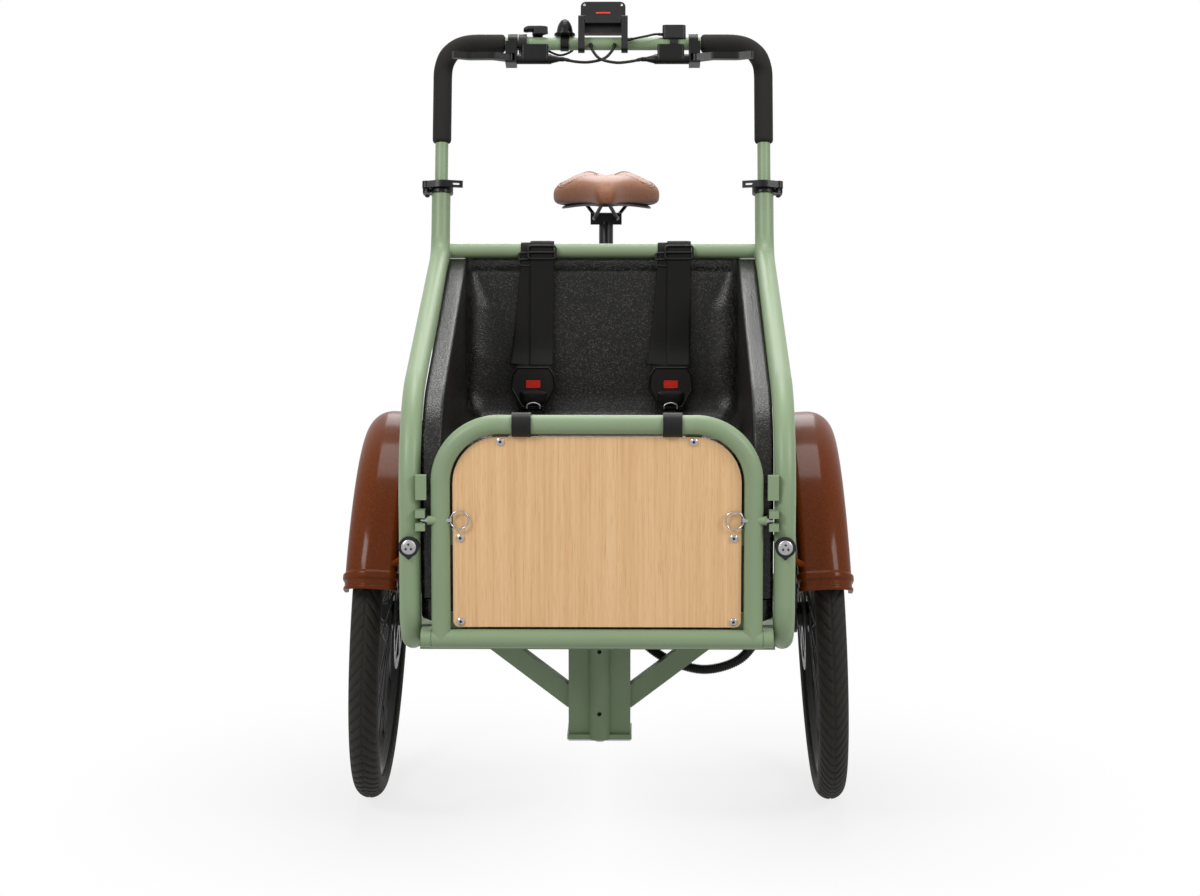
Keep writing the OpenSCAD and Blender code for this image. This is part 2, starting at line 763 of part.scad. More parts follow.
// Fenders over the front wheels
fender_r = front_r + fender_gap + fender_wall;
fender_in = -46;
fender_out = 34;
fender_shoulder = 40;
fender_skirt = 26;
fender_rear = 82;
fender_front = 253;
fender_bead = 3;
function fender_line(grow) = round_path(
    [
        [fender_r - 34, fender_in - grow], [fender_r + grow, fender_in - grow],
        [fender_r + grow, fender_out + grow], [fender_r - fender_shoulder - fender_skirt, fender_out + grow]
    ],
    [0, 12 + grow, fender_shoulder + grow, 0], 8
);
function backwards(q) = [for (i = [len(q) - 1 : -1 : 0]) q[i]];
module fender_arc(grow, from, to) {
    rotate(from)
        rotate_extrude(angle = to - from, $fn = 96)
            polygon(concat(fender_line(grow), backwards(fender_line(-fender_wall))));
}

module front_fenders() placed() color(brown)
    both() difference() {
        union() {
            on_hub() fender_arc(0, fender_rear, fender_front);
            on_hub() fender_arc(fender_bead, fender_front - 4.6, fender_front - 3);
            rod([rail_x + 34, -front_r + 14, 424], [rail_x + 8, -rail_front + 4, 452], 10);
            rod([rail_x + 30, rail_rear + 9, 372], [rail_x + 8, rail_rear, 372], 12);
        }
        rail_rods(rail_x, seat);
    }

// Hinges at the door's foot
hinge_depth = 18;
lug_in = door_half + pass;
lug_d = 26;
module hinge_lugs()
    both() {
        difference() {
            side_plate(lug_in, rim_x - lug_in) {
                translate([door_y, hinge_z]) circle(d = lug_d);
                polygon([
                    [door_y, hinge_z - lug_d / 2], [door_y, hinge_z + lug_d / 2],
                    [-rail_front + 34, hinge_z + lug_d / 2 + 4], [-rail_front + 40, hinge_z - lug_d / 2]
                ]);
            }
            translate([lug_in - 5, tub_front_y - pass, hinge_z]) cube([rim_x, 100, 100]);
            translate([0, member_front_y - member_w / 2 - pass, hinge_z - 50]) cube([rim_x + 10, 100, 100]);
        }
        rod([door_half - hinge_depth, door_y, hinge_z], [lug_in + 4, door_y, hinge_z], hinge_pin_d);
    }

// Open forks on the rails take the latch pins
latch_z = hinge_z + latch_rise;
latch_y = door_y - 7;
boss_x = door_half + 5;
fork_in = boss_x + 3;
slot_room = 0.6;
module latch_forks()
    both() difference() {
        union() {
            translate([fork_in, latch_y - 8, latch_z - 15]) cube([rail_x - fork_in, 22, 30]);
            translate([fork_in - 2, latch_y - 2, latch_z + 30]) cube([rail_x - fork_in, 14, 36]);
        }
        translate([fork_in - 5, latch_y - 20, latch_z - latch_d / 2 - slot_room])
            cube([40, 60, latch_d + 2 * slot_room]);
        rail_rods(rail_x, seat);
        translate([rail_x - 10, -rail_front - 50, latch_z - 50]) cube([50, 80, 200]);
    }

module rail_brackets() placed() color(sage) {
    hinge_lugs();
    latch_forks();
}

// The door: a bent tube, a hinge tube and tabs that carry the panel
panel_front = door_y - 2;
panel_half = door_tube_x - door_tube_d / 2 - panel_gap;
panel_low = hinge_z + door_tube_d / 2 + panel_gap;
panel_high = door_top_z - door_tube_d / 2 - panel_gap;
panel_corner = door_corner_r - door_tube_d / 2 - panel_gap;
panel_foot_r = 9;
tab_t = 4;
tab_w = 24;
tab_y = panel_front + panel_t + seat;
bolt_d = 5;
bolt_head_d = 11;
// Each bolt as [width, height, turn of its tab]
panel_bolts_at = [
    [door_tube_x - 29, hinge_z + 26, 0],
    [door_tube_x - 29, hinge_z + 150, 0],
    [141, door_top_z - 25, 90]
];

module latch_bore(extra) {
    rod([door_tube_x - 30, latch_y, latch_z], [boss_x + extra, latch_y, latch_z], latch_d + 2 * run);
}

module door_frame() placed() color(sage)
    difference() {
        union() {
            bent_rod(
                [
                    [-door_tube_x, door_y, hinge_z], [-door_tube_x, door_y, door_top_z],
                    [door_tube_x, door_y, door_top_z], [door_tube_x, door_y, hinge_z]
                ],
                [0, door_corner_r, door_corner_r, 0], door_tube_d
            );
            rod([-door_half, door_y, hinge_z], [door_half, door_y, hinge_z], door_tube_d);
            both() {
                rod([door_tube_x, latch_y, latch_z], [boss_x, latch_y, latch_z], latch_d + 6);
                for (b = panel_bolts_at)
                    translate([b[0], tab_y + tab_t, b[1]]) rotate([90, 0, 0]) rotate(b[2])
                        linear_extrude(tab_t) {
                        circle(d = tab_w);
                        translate([0, -tab_w / 2]) square([29 - door_tube_d / 4, tab_w]);
                    }
            }
        }
        both() {
            rod([door_half - hinge_depth - 1, door_y, hinge_z], [door_half + 1, door_y, hinge_z],
                hinge_pin_d + 2 * run);
            latch_bore(1);
            for (b = panel_bolts_at) translate([b[0], tab_y + 20, b[1]]) rotate([90, 0, 0])
                cylinder(d = bolt_d + 2 * seat, h = 40);
        }
    }

module door_panel() placed() color(oak)
    translate([0, panel_front + panel_t, 0]) rotate([90, 0, 0]) difference() {
        linear_extrude(panel_t) polygon(round_path(
            [
                [0, panel_low], [panel_half, panel_low], [panel_half, panel_high],
                [-panel_half, panel_high], [-panel_half, panel_low], [0, panel_low]
            ],
            [0, panel_foot_r, panel_corner, panel_corner, panel_foot_r, 0], 10
        ));
        both() for (b = panel_bolts_at) translate([b[0], b[1], -1])
            cylinder(d = bolt_d + 2 * seat, h = panel_t + 2);
    }

module panel_bolts() placed() color(steel)
    both() for (b = panel_bolts_at) translate([b[0], panel_front - seat, b[1]]) rotate([90, 0, 0]) {
        difference() {
            intersection() {
                translate([0, 0, -6]) sphere(d = 19);
                cylinder(d = bolt_head_d, h = 3.5);
            }
            translate([0, 0, 1.6]) cylinder(d = 4, h = 5, $fn = 6);
        }
        translate([0, 0, -panel_t - tab_t - 5]) cylinder(d = bolt_d, h = panel_t + tab_t + 5.2);
        translate([0, 0, -panel_t - tab_t - 4 - 3 * seat]) cylinder(d = 9, h = 4, $fn = 6);
    }

bumper_x = 110;
bumper_w = 28;
module door_bumpers() placed() color(black)
    both() difference() {
        rod([bumper_x - bumper_w / 2, door_y, door_top_z],
            [bumper_x + bumper_w / 2, door_y, door_top_z], door_tube_d + 2 * bumper_t);
        rod([0, door_y, door_top_z], [2 * bumper_x, door_y, door_top_z], door_tube_d + 2 * seat);
    }

// Sprung latch pins with split rings
pin_in = door_tube_x - door_tube_d / 2 - 3;
pin_out = fork_in + latch_travel / 2;
ring_wire = 2.4;
module latch_pin(s) placed() color(steel)
    mirror([s < 0 ? 1 : 0, 0, 0]) {
        rod([pin_in, latch_y, latch_z], [pin_out - 2, latch_y, latch_z], latch_d);
        translate([pin_out - 2, latch_y, latch_z]) rotate([0, 90, 0])
            cylinder(d1 = latch_d, d2 = latch_d - 3, h = 2);
        translate([pin_in - ring_d / 2 + ring_wire + 1, latch_y, latch_z])
            rotate([90, 0, 0])
                rotate_extrude() translate([ring_d / 2 - ring_wire / 2, 0]) circle(d = ring_wire);
    }
module latch_pin_left() latch_pin(1);
module latch_pin_right() latch_pin(-1);

// Two child harnesses hang from the cross tube
harness_x = 116;
web_thick = 2;
shoulder_w = 34;
shoulder_gap = 2;
crotch_w = 26;
cross_at = [rail_corner_y + 4, rail_corner_z + 4];
loop_r = cross_d / 2 + 0.3;
buckle_w = 80;
buckle_low = 603;
buckle_high = 676;
buckle_y = 236;
buckle_t = 14;
shoulder_path = [
    cross_at + [-loop_r, 0], cross_at + [-loop_r - 1, -24], on_back(0.62) + [-6, 0],
    on_back(0.45) + [-9, 0], [buckle_y + buckle_t / 2, buckle_high + 0.3]
];

// A band of webbing of width w about x, lying between a path and the same path moved by t
module webbing(x, w, path, t) {
    side_plate(x - w / 2, w) polygon(concat(path, backwards(beside(path, t))));
}

module shoulder_straps() placed() color(black)
    for (s = [-1, 1], k = [-1, 1]) {
        x = s * harness_x + k * (shoulder_w + shoulder_gap) / 2;
        webbing(x, shoulder_w, shoulder_path, web_thick);
        side_plate(x - shoulder_w / 2, shoulder_w) translate(cross_at) difference() {
            circle(r = loop_r + web_thick);
            circle(r = loop_r);
        }
    }

bench_face = unit([bench_y, bench_z] - on_floor(bench_foot_y));
function on_bench_face(drop) = [bench_y, bench_z] - drop * bench_face;
crotch_path = beside(concat(
    [on_bench_face(78)],
    [for (i = [9 : 15]) tub_path[i]],
    [[buckle_y - 4, bench_z + 9], [buckle_y + buckle_t / 2 - 1, buckle_low - 1.5]]
), -0.4);
module crotch_straps() placed() color(black)
    for (s = [-1, 1]) webbing(s * harness_x, crotch_w, crotch_path, -web_thick);

button_w = 24;
button_h = 13;
button_z = buckle_low + 42;
module harness_buckles() placed() color(black)
    for (s = [-1, 1]) translate([s * harness_x, buckle_y + buckle_t, 0]) rotate([90, 0, 0]) difference() {
        linear_extrude(buckle_t) polygon(round_path(
            [
                [0, buckle_low], [buckle_w / 4, buckle_low], [buckle_w / 2, buckle_low + 34],
                [buckle_w / 2 - 3, buckle_high - 14], [buckle_w / 2 - 12, buckle_high],
                [-buckle_w / 2 + 12, buckle_high], [-buckle_w / 2 + 3, buckle_high - 14],
                [-buckle_w / 2, buckle_low + 34], [-buckle_w / 4, buckle_low], [0, buckle_low]
            ],
            [0, 5, 8, 6, 4, 4, 6, 8, 5, 0], 4
        ));
        translate([0, button_z, buckle_t - 11]) linear_extrude(12) rounded(button_w + 0.8, button_h + 0.8, 2);
    }

module buckle_button(s) placed() color(signal_red)
    translate([s * harness_x, buckle_y + 6, button_z]) rotate([90, 0, 0])
        rounded_block(button_w, button_h, 7.5, 2);
module buckle_button_left() buckle_button(1);
module buckle_button_right() buckle_button(-1);

// Places children on the bench's front, z outwards, with the strap beneath
module on_bench_front(x, drop, lift) {
    p = on_bench_face(drop);
    translate([x, p[0], p[1]]) rotate([90 - atan2(bench_face[0], bench_face[1]), 0, 0])
        translate([0, 0, lift]) children();
}

module harness_hardware() placed() color(steel)
    for (s = [-1, 1]) {
        strap_top = web_thick + 0.5;
        on_bench_front(s * harness_x, 64, strap_top) {
            cylinder(d = 18, h = 1.6);
            cylinder(d = 9, h = 5);
        }
        on_bench_front(s * harness_x, 40, strap_top) difference() {
            cylinder(d = 11, h = 1.2);
            translate([0, 0, -1]) cylinder(d = 5, h = 4);
        }
    }

// The handlebar: a bent tube whose legs slide in the uprights
module bar_rods(extra = 0) {
    on_upright() bent_rod(
        [
            [-rail_x, 0, upright_len - bar_insert], [-rail_x, 0, bar_rise],
            [rail_x, 0, bar_rise], [rail_x, 0, upright_len - bar_insert]
        ],
        [0, bar_corner_r, bar_corner_r, 0], bar_d + 2 * extra
    );
}

module handlebar() placed() color(sage) bar_rods();

module foam_grips() placed() color(charcoal)
    difference() {
        both() on_upright() bent_rod(
            [[grip_inner_x, 0, bar_rise], [rail_x, 0, bar_rise], [rail_x, 0, grip_low]],
            [0, bar_corner_r, 0], grip_d
        );
        bar_rods(seat);
    }

// A ring round the crossbar from x1 to x2, as wide outside as d
module bar_ring(x1, x2, d) {
    difference() {
        rod([x1, 0, 0], [x2, 0, 0], d);
        rod([x1 - 1, 0, 0], [x2 + 1, 0, 0], bar_d + 2 * seat);
    }
}

// Hydraulic brake levers
perch_in = 147;
perch_out = 163;
pivot_x = 158;
pivot_y = -34;
pivot_pin_d = 5;
master_y = -27;
master_z = -36;
perch_top = -8;
master_d = 17;
blade_h = 12;
blade_low = master_z - blade_h / 2;
module brake_body() {
    bar_ring(perch_in, perch_out, 34);
    difference() {
        union() {
            translate([perch_in, pivot_y - 7, blade_low - 4])
                cube([perch_out - perch_in + 3, 32, perch_top - blade_low + 4]);
            rod([perch_in + 4, master_y, master_z], [88, master_y, master_z], master_d);
            translate([116, master_y, master_z - 2]) rounded_block(46, 19, 26, 4);
        }
        rod([0, 0, 0], [perch_out + 9, 0, 0], bar_d + 2 * seat);
        translate([perch_in + 3, pivot_y - 10, blade_low - 0.4]) cube([30, 20, blade_h + 0.8]);
    }
    translate([pivot_x, pivot_y, blade_low - 3]) cylinder(d = pivot_pin_d, h = blade_h + 6);
    translate([88, master_y, master_z]) rotate([0, -90, 0]) cylinder(d1 = master_d - 2, d2 = 8, h = 14);
    rod([74.5, master_y, master_z], [66, master_y, master_z], 8);
}
module brake_bodies() placed() color(black) on_bar() both() brake_body();

module brake_lever(s) placed() color(black)
    on_bar() mirror([s < 0 ? 1 : 0, 0, 0]) translate([0, 0, blade_low]) difference() {
        linear_extrude(blade_h) {
            translate([pivot_x, pivot_y]) circle(d = 12);
            polygon(round_path(
                [
                    [pivot_x - 4, pivot_y - 5], [pivot_x + 2, pivot_y - 6], [188, -50], [228, -48],
                        [254, -56],
                    [257, -49], [228, -39], [188, -40], [pivot_x + 2, pivot_y + 5.5],
                        [pivot_x - 4, pivot_y - 5]
                ],
                [0, 0, 30, 30, 3, 3, 30, 20, 0, 0]
            ));
        }
        translate([pivot_x, pivot_y, -1]) cylinder(d = pivot_pin_d + 2 * run, h = blade_h + 2);
    }
module brake_lever_left() brake_lever(1);
module brake_lever_right() brake_lever(-1);

// Gear shifter by the right grip, its paddle over the bar
shifter_pin = [-112, 17];
shifter_top = 14;
module shifter_body() placed() color(black)
    on_bar() {
        bar_ring(-145, -131, 33);
        difference() {
            translate([-122.5, 15, -14]) rounded_block(45, 22, 28, 6);
            rod([-200, 0, 0], [0, 0, 0], bar_d + 2 * seat);
        }
        translate([shifter_pin[0], shifter_pin[1], shifter_top - 2]) cylinder(d = 5, h = 9.5);
    }

module shifter_lever() placed() color(black)
    on_bar() translate([0, 0, shifter_top + 0.5]) difference() {
        union() {
            linear_extrude(5) {
                translate(shifter_pin) circle(d = 15);
                polygon(round_path(
                    [[-119, 17], [-122, -4], [-118, -15], [-96, -15], [-94, -9], [-104, -2], [-105, 17],
                        [-119, 17]],
                    [0, 6, 5, 3, 3, 8, 0, 0]
                ));
            }
            translate([-107, -12, 0]) rounded_block(24, 6, 12, 2.5);
        }
        translate([shifter_pin[0], shifter_pin[1], -1]) cylinder(d = 5 + 2 * run, h = 20);
    }

// Assist remote beside the rider's left grip
remote_x = 122;
remote_w = 40;
remote_top = 29;
module remote_body() placed() color(black)
    on_bar() {
        bar_ring(remote_x - 7, remote_x + 7, 29);
        difference() {
            translate([remote_x, -1, 6]) rounded_block(remote_w, 30, remote_top - 6, 6);
            rod([0, 0, 0], [200, 0, 0], bar_d + 2 * seat);
            translate([remote_x, 0, remote_top - 7]) rounded_block(18.8, 11.8, 10, 3);
        }
    }

module remote_button() placed() color([0.45, 0.45, 0.47])
    on_bar() translate([remote_x, 0, remote_top - 5]) rounded_block(18, 11, 6.2, 2.8);

// Display on two arms ahead of the crossbar
arm_x = 37;
arm_w = 11;
display_w = 77;
display_h = 55;
display_t = 18;
display_low = 16.5;
display_back = -12;
display_pin = [-23, 36];
display_pin_d = 6;
module display_bracket() placed() color(black)
    on_bar() {
        for (s = [-1, 1]) {
            bar_ring(s * arm_x - arm_w / 2, s * arm_x + arm_w / 2, 27);
            difference() {
                side_plate(s * arm_x - arm_w / 2, arm_w) polygon(round_path(
                    [[-27, 0], [-27, -16], [-22, -21], [-12, -21], [-12, 6], [-19, 14], [-19, 43],
                        [-27, 43], [-27, 0]],
                    [0, 4, 4, 2, 6, 6, 3, 3, 0]
                ));
                rod([-100, 0, 0], [100, 0, 0], bar_d + 2 * seat);
            }
        }
        rod([-arm_x, display_pin[0], display_pin[1]], [arm_x, display_pin[0], display_pin[1]], display_pin_d);
    }

module display() placed() color(black)
    on_bar() difference() {
        union() {
            translate([0, display_back + display_t, display_low + display_h / 2])
                rotate([90, 0, 0])
                    rounded_block(display_w, display_h, display_t, 9);
            translate([0, display_pin[0] + 7, display_pin[1] - 7])
                rounded_block(2 * arm_x - arm_w - 2, 22, 14, 2);
        }
        rod([-60, display_pin[0], display_pin[1]], [60, display_pin[0], display_pin[1]],
            display_pin_d + 2 * run);
        translate([-29, display_back + display_t - 1.2, display_low + 6]) cube([58, 2, display_h - 14]);
    }

// Dome bell with a thumb striker on the rider's side
bell_x = -66;
bell_d = 36;
bell_h = 32;
bell_base = 12;
striker_y = 24;
striker_z = 17;
module bell_body() placed() color(black)
    on_bar() {
        bar_ring(bell_x - 7, bell_x + 7, 26);
        translate([bell_x, 0, bell_base]) rotate_extrude() polygon(concat(
            [[0, 0], [bell_d / 2 - 5, 0], [bell_d / 2, 3], [bell_d / 2, 5]],
            [for (a = [0 : 15 : 90]) [(bell_d / 2 - 4) * cos(a), 6 + (bell_h - 6) * sin(a)]]
        ));
        for (x = [bell_x - 6.5, bell_x + 4.5])
            translate([x, bell_d / 2 - 9, bell_base]) cube([2, striker_y - bell_d / 2 + 13, 9]);
        rod([bell_x - 6, striker_y, striker_z], [bell_x + 6, striker_y, striker_z], 3);
    }

module bell_striker() placed() color(steel)
    on_bar() difference() {
        union() {
            rod([bell_x - 4, striker_y, striker_z], [bell_x + 4, striker_y, striker_z], 8);
            rod([bell_x, striker_y, striker_z], [bell_x, striker_y + 3, striker_z + 18], 4);
            translate([bell_x, striker_y + 3, striker_z + 19]) sphere(d = 8);
        }
        rod([bell_x - 9, striker_y, striker_z], [bell_x + 9, striker_y, striker_z], 3 + 2 * run);
    }

// Hoses and wires on the handlebar, as knots in the crossbar's frame
hose_d = 5;
wire_d = 4;
left_hose = [
    [-65.7, master_y, master_z], [-48, -30, -41], [-24, -33, -43], [2, -31, -36], [16, -22, -19],
        [20, -11.6, -5]
];
right_hose = [
    [65.7, master_y, master_z], [46, -36, -43], [22, -40, -46], [-4, -38, -39], [-17, -26, -21],
        [-21, -11.6, -5]
];
shifter_wire = [[-99.7, 16, -4], [-88, 19, -10], [-74, 20, -14], [-58, 17, -10], [-50, 11.6, -3]];
remote_wire = [[101.7, -8, 14], [90, -16, 12], [74, -24, 6], [58, -26, 2], [42.8, -22, 0]];
module handlebar_cables() placed() color(black)
    on_bar() {
        swept(spline(left_hose, 4), hose_d);
        swept(spline(right_hose, 4), hose_d);
        swept(spline(shifter_wire, 3), wire_d);
        swept(spline(remote_wire, 3), wire_d);
    }

// Ribbed cable loom that hangs in a loop under the box
loom_d = 16;
loom_bore = 11;
loom_rib = 1.2;
loom_ribs = 84;
loom_knots = [
    [60, -62, 305.8], [60, -58, 282], [78, -48, 252], [118, -44, 226],
    [170, -44, 214], [222, -46, 230], [250, -56, 268], [254, -62, 305.8]
];
loom_line = spline(loom_knots, 6);
loom_lengths = run_lengths(loom_line);
module cable_loom() placed() color(black)
    ribbed_hose(loom_line, loom_lengths, loom_ribs);

// A hose whose skin rises and falls once per rib, with a smooth bore
module ribbed_hose(line, lengths, ribs) {
    sides = 8;
    rings = 2 * ribs + 1;
    bore_rings = 24;
    outside = [for (i = [0 : rings - 1]) [i / (rings - 1), loom_d / 2 - (i % 2) * loom_rib]];
    inside = [for (i = [0 : bore_rings - 1]) [1 - i / (bore_rings - 1), loom_bore / 2]];
    all = concat(outside, inside);
    n = len(all);
    points = [
        for (q = all)
            let (
                p = along(line, q[0], lengths),
                t = unit(along(line, min(1, q[0] + 0.01), lengths)
                    - along(line, max(0, q[0] - 0.01), lengths)),
                a = unit(cross(t, [0, 1, 0])),
                b = cross(t, a)
            )
            for (k = [0 : sides - 1]) p + q[1] * (cos(360 * k / sides) * a + sin(360 * k / sides) * b)
    ];
    faces = [
        for (i = [0 : n - 1]) for (k = [0 : sides - 1])
            let (
                a = i * sides + k, b = i * sides + (k + 1) % sides,
                c = ((i + 1) % n) * sides + k, d = ((i + 1) % n) * sides + (k + 1) % sides
            )
            each [[a, c, b], [b, c, d]]
    ];
    polyhedron(points, faces);
}

// The rear frame turns on the kingpin and runs under the box
beam_d = 46;
beam_z = 206;
shell_d = 54;
shell_half = 36;
crank_axle_d = 18;
seat_tube_d = 34;
collar_d = 41;
collar_h = 22;
stay_d = 18;
stay_x = 26;
stay_from = crank_y + 10;
seat_stay_d = 16;
seat_stay_x = 36;
bridge_d = 22;
bridge_half = 45;
bridge_h = seat_tube_len - 44;
drop_x = 62;
drop_t = 6;
rear_axle_d = 12;
seatpost_in = 130;
seatpost_drop = 85;

// Places children on the seat tube, z along it from the crank axle
module on_seat_tube() {
    translate([0, crank_y, crank_z]) rotate([-seat_lean, 0, 0]) children();
}
function seat_tube_at(x, h) = [x, crank_y + h * sin(seat_lean), crank_z + h * cos(seat_lean)];

module rear_frame() placed() color(sage)
    difference() {
        union() {
            translate([0, king_y, head_low_z]) cylinder(d = head_d, h = head_high_z - head_low_z);
            rod([0, king_y, beam_z], [0, crank_y, crank_z], beam_d);
            rod([-shell_half, crank_y, crank_z], [shell_half, crank_y, crank_z], shell_d);
            rod([0, crank_y, crank_z], seat_tube_at(0, seat_tube_len), seat_tube_d);
            on_seat_tube() translate([0, 0, seat_tube_len - collar_h]) cylinder(d = collar_d, h = collar_h);
            rod(seat_tube_at(-bridge_half, bridge_h), seat_tube_at(bridge_half, bridge_h), bridge_d);
            both() {
                rod([stay_x, stay_from, crank_z], [drop_x + drop_t / 2, wheelbase, rear_r], stay_d);
                rod(seat_tube_at(seat_stay_x, bridge_h), [drop_x + drop_t / 2, wheelbase, rear_r],
                    seat_stay_d);
                side_plate(drop_x, drop_t) translate([wheelbase, rear_r]) circle(d = 46);
            }
            rod([-drop_x - 14, wheelbase, rear_r], [drop_x + 14, wheelbase, rear_r], rear_axle_d);
            chain_guide();
        }
        translate([0, king_y, 0]) cylinder(d = king_d + 2 * run, h = 2 * post_top_z);
        rod([-100, crank_y, crank_z], [100, crank_y, crank_z], crank_axle_d + 2 * run);
        on_seat_tube() translate([0, 0, seat_tube_len - seatpost_in - seatpost_drop - 2])
            cylinder(d = seatpost_d + 2 * run, h = seatpost_in + seatpost_drop + 10);
    }

// Rear wheel with its hub motor
rear_seat_r = rear_r - tyre_r - bead_drop;
motor_d = 168;
motor_half = 32;
module on_rear_axle() {
    translate([0, wheelbase, rear_r]) rotate([0, 90, 0]) children();
}
module rear_tyre() placed() color(black) on_rear_axle() tyre(rear_r, tyre_r);

module rear_wheel() placed() color(black)
    on_rear_axle() difference() {
        union() {
            wheel_rim(rear_seat_r, rim_w);
            spokes(rear_spokes, motor_d / 2 - 4, -20, 20, rear_seat_r - 14);
            rotate_extrude($fn = 96) polygon(round_path(
                [
                    [0, -motor_half], [motor_d / 2 - 26, -motor_half], [motor_d / 2 - 10, -24],
                    [motor_d / 2, -24], [motor_d / 2, 24], [motor_d / 2 - 10, 24],
                    [motor_d / 2 - 26, motor_half], [0, motor_half]
                ],
                [0, 8, 4, 2, 2, 4, 8, 0], 4
            ));
        }
        translate([0, 0, -motor_half - 1]) cylinder(d = rear_axle_d + 2 * run, h = 2 * motor_half + 2);
    }

// Sprockets and the chain on the rider's right, which is the side of negative x
chain_x = -48;
chain_gap = 2.2;
plate_t = 1.3;
tooth_t = 2;
function pitch_r(n) = chain_pitch / (2 * sin(180 / n));
ring_r = pitch_r(chainring_teeth);
cog_r = pitch_r(sprocket_teeth);
module sprocket_face(n) {
    r = pitch_r(n);
    polygon([
        for (k = [0 : n - 1])
            for (q = [[0, -4.2], [0.26, -2.2], [0.4, 2.6], [0.6, 2.6], [0.74, -2.2]])
                let (a = 360 * (k + q[0]) / n) (r + q[1]) * [cos(a), sin(a)]
    ]);
}

module rear_sprocket() placed() color(steel)
    difference() {
        union() {
            side_plate(chain_x - tooth_t / 2, tooth_t) translate([wheelbase, rear_r])
                sprocket_face(sprocket_teeth);
            rod([chain_x - 4, wheelbase, rear_r], [-motor_half - 1.5, wheelbase, rear_r], 36);
        }
        rod([-100, wheelbase, rear_r], [100, wheelbase, rear_r], rear_axle_d + 2 * run);
    }

// The chain's line: round the chainring, along the top, round the sprocket and back
chain_span = [wheelbase - crank_y, rear_r - crank_z];
chain_tilt = atan2(chain_span[1], chain_span[0]);
chain_wrap = acos((ring_r - cog_r) / norm(chain_span));
function arc_points(c, r, from, to, n) =
    [for (k = [0 : n]) c + r * [cos(from + (to - from) * k / n), sin(from + (to - from) * k / n)]];
chain_line = let (
    a = chain_tilt + chain_wrap,
    b = chain_tilt + 360 - chain_wrap,
    turns = arc_points([crank_y, crank_z], ring_r, a, b, 40),
    back = arc_points([wheelbase, rear_r], cog_r, b - 360, a, 24)
) concat(turns, back, [turns[0]]);
chain_lengths = run_lengths(chain_line);
chain_links = 2 * round(chain_lengths[len(chain_lengths) - 1] / chain_pitch / 2);
chain_tall = 4.3;
chain_waist = 3.1;

// A slipper under the right stay, on the chain's lower run
guide_share = 0.57;
guide_w = 10;
guide_len = 26;
module chain_guide() {
    from = chain_line[40];
    to = chain_line[41];
    at = from + guide_share * (to - from);
    stay_z = crank_z + (rear_r - crank_z) * (at[0] - stay_from) / (wheelbase - stay_from);
    guide_h = stay_z - at[1] - chain_tall - seat;
    translate([chain_x, at[0], at[1]]) rotate([atan2(to[1] - from[1], to[0] - from[0]), 0, 0])
        translate([-guide_w / 2, -guide_len / 2, chain_tall + seat]) cube([guide_w, guide_len, guide_h]);
}

// Outline of the chain's plates on one side
function chain_edge(way) = [
    for (k = [0 : 2 * chain_links - 1])
        let (
            f = k / (2 * chain_links),
            p = along(chain_line, f, chain_lengths),
            t = unit(along(chain_line, min(1, f + 0.001), chain_lengths)
                - along(chain_line, max(0, f - 0.001), chain_lengths))
        )
        p + way * (k % 2 == 0 ? chain_tall : chain_waist) * [t[1], -t[0]]
];

module chain() placed() color(steel) {
    for (x = [chain_x - chain_gap - plate_t, chain_x + chain_gap])
        side_plate(x, plate_t) difference() {
            polygon(chain_edge(1));
            polygon(chain_edge(-1));
        }
    top_from = ring_r * 1.25;
    for (k = [0 : 2 : chain_links - 1]) {
        p = along(chain_line, k / chain_links, chain_lengths);
        if (norm(p - [crank_y, crank_z]) > top_from + 20 && norm(p - [wheelbase, rear_r]) > cog_r + 26)
            rod(side(chain_x - chain_gap - 0.1, p), side(chain_x + chain_gap + 0.1, p), 5, $fn = 24);
    }
}

// Cranks, chainring and pedal spindles
arm_in = 72;
arm_t = 12;
spindle_d = 10;
pedal_w = 92;
pedal_l = 78;
pedal_h = 20;
module crank_arm(s, way) {
    side_plate(s > 0 ? arm_in : -arm_in - arm_t, arm_t) translate([crank_y, crank_z]) {
        circle(d = 34);
        translate([way * crank_len, 0]) circle(d = 24);
        polygon([[0, -15], [way * crank_len, -10], [way * crank_len, 10], [0, 15]]);
    }
    rod(
        [s * (arm_in + 1), crank_y + way * crank_len, crank_z],
        [s * (arm_in + arm_t + pedal_w), crank_y + way * crank_len, crank_z], spindle_d
    );
}

module crankset() placed() color(black) {
    rod([-arm_in - 4, crank_y, crank_z], [arm_in + 4, crank_y, crank_z], crank_axle_d);
    rod([chain_x + 6, crank_y, crank_z], [-arm_in - 2, crank_y, crank_z], 36);
    crank_arm(-1, -1);
    crank_arm(1, 1);
    side_plate(chain_x - tooth_t / 2, tooth_t) translate([crank_y, crank_z]) difference() {
        sprocket_face(chainring_teeth);
        for (a = [0 : 72 : 288]) rotate(a + 36) polygon(round_path(
            [[24, 0], [24, -7], [ring_r - 14, -26], [ring_r - 8, 0], [ring_r - 14, 26], [24, 7], [24, 0]],
            [0, 4, 6, 20, 6, 4, 0]
        ));
    }
}

module pedal(s, way) placed() color(black)
    translate([s * (arm_in + arm_t + 3 + pedal_w / 2 - 2), crank_y + way * crank_len, crank_z]) difference() {
        union() {
            translate([0, 0, -pedal_h / 2]) rounded_block(pedal_w - 4, pedal_l, pedal_h, 12);
        }
        for (k = [-1, 1]) translate([0, k * (pedal_l / 4 + 2), -pedal_h])
            rounded_block(pedal_w - 24, pedal_l / 3 - 8, 3 * pedal_h, 4);
        rod([-pedal_w, 0, 0], [pedal_w, 0, 0], spindle_d + 2 * run);
    }
module pedal_right() pedal(-1, -1);
module pedal_left() pedal(1, 1);

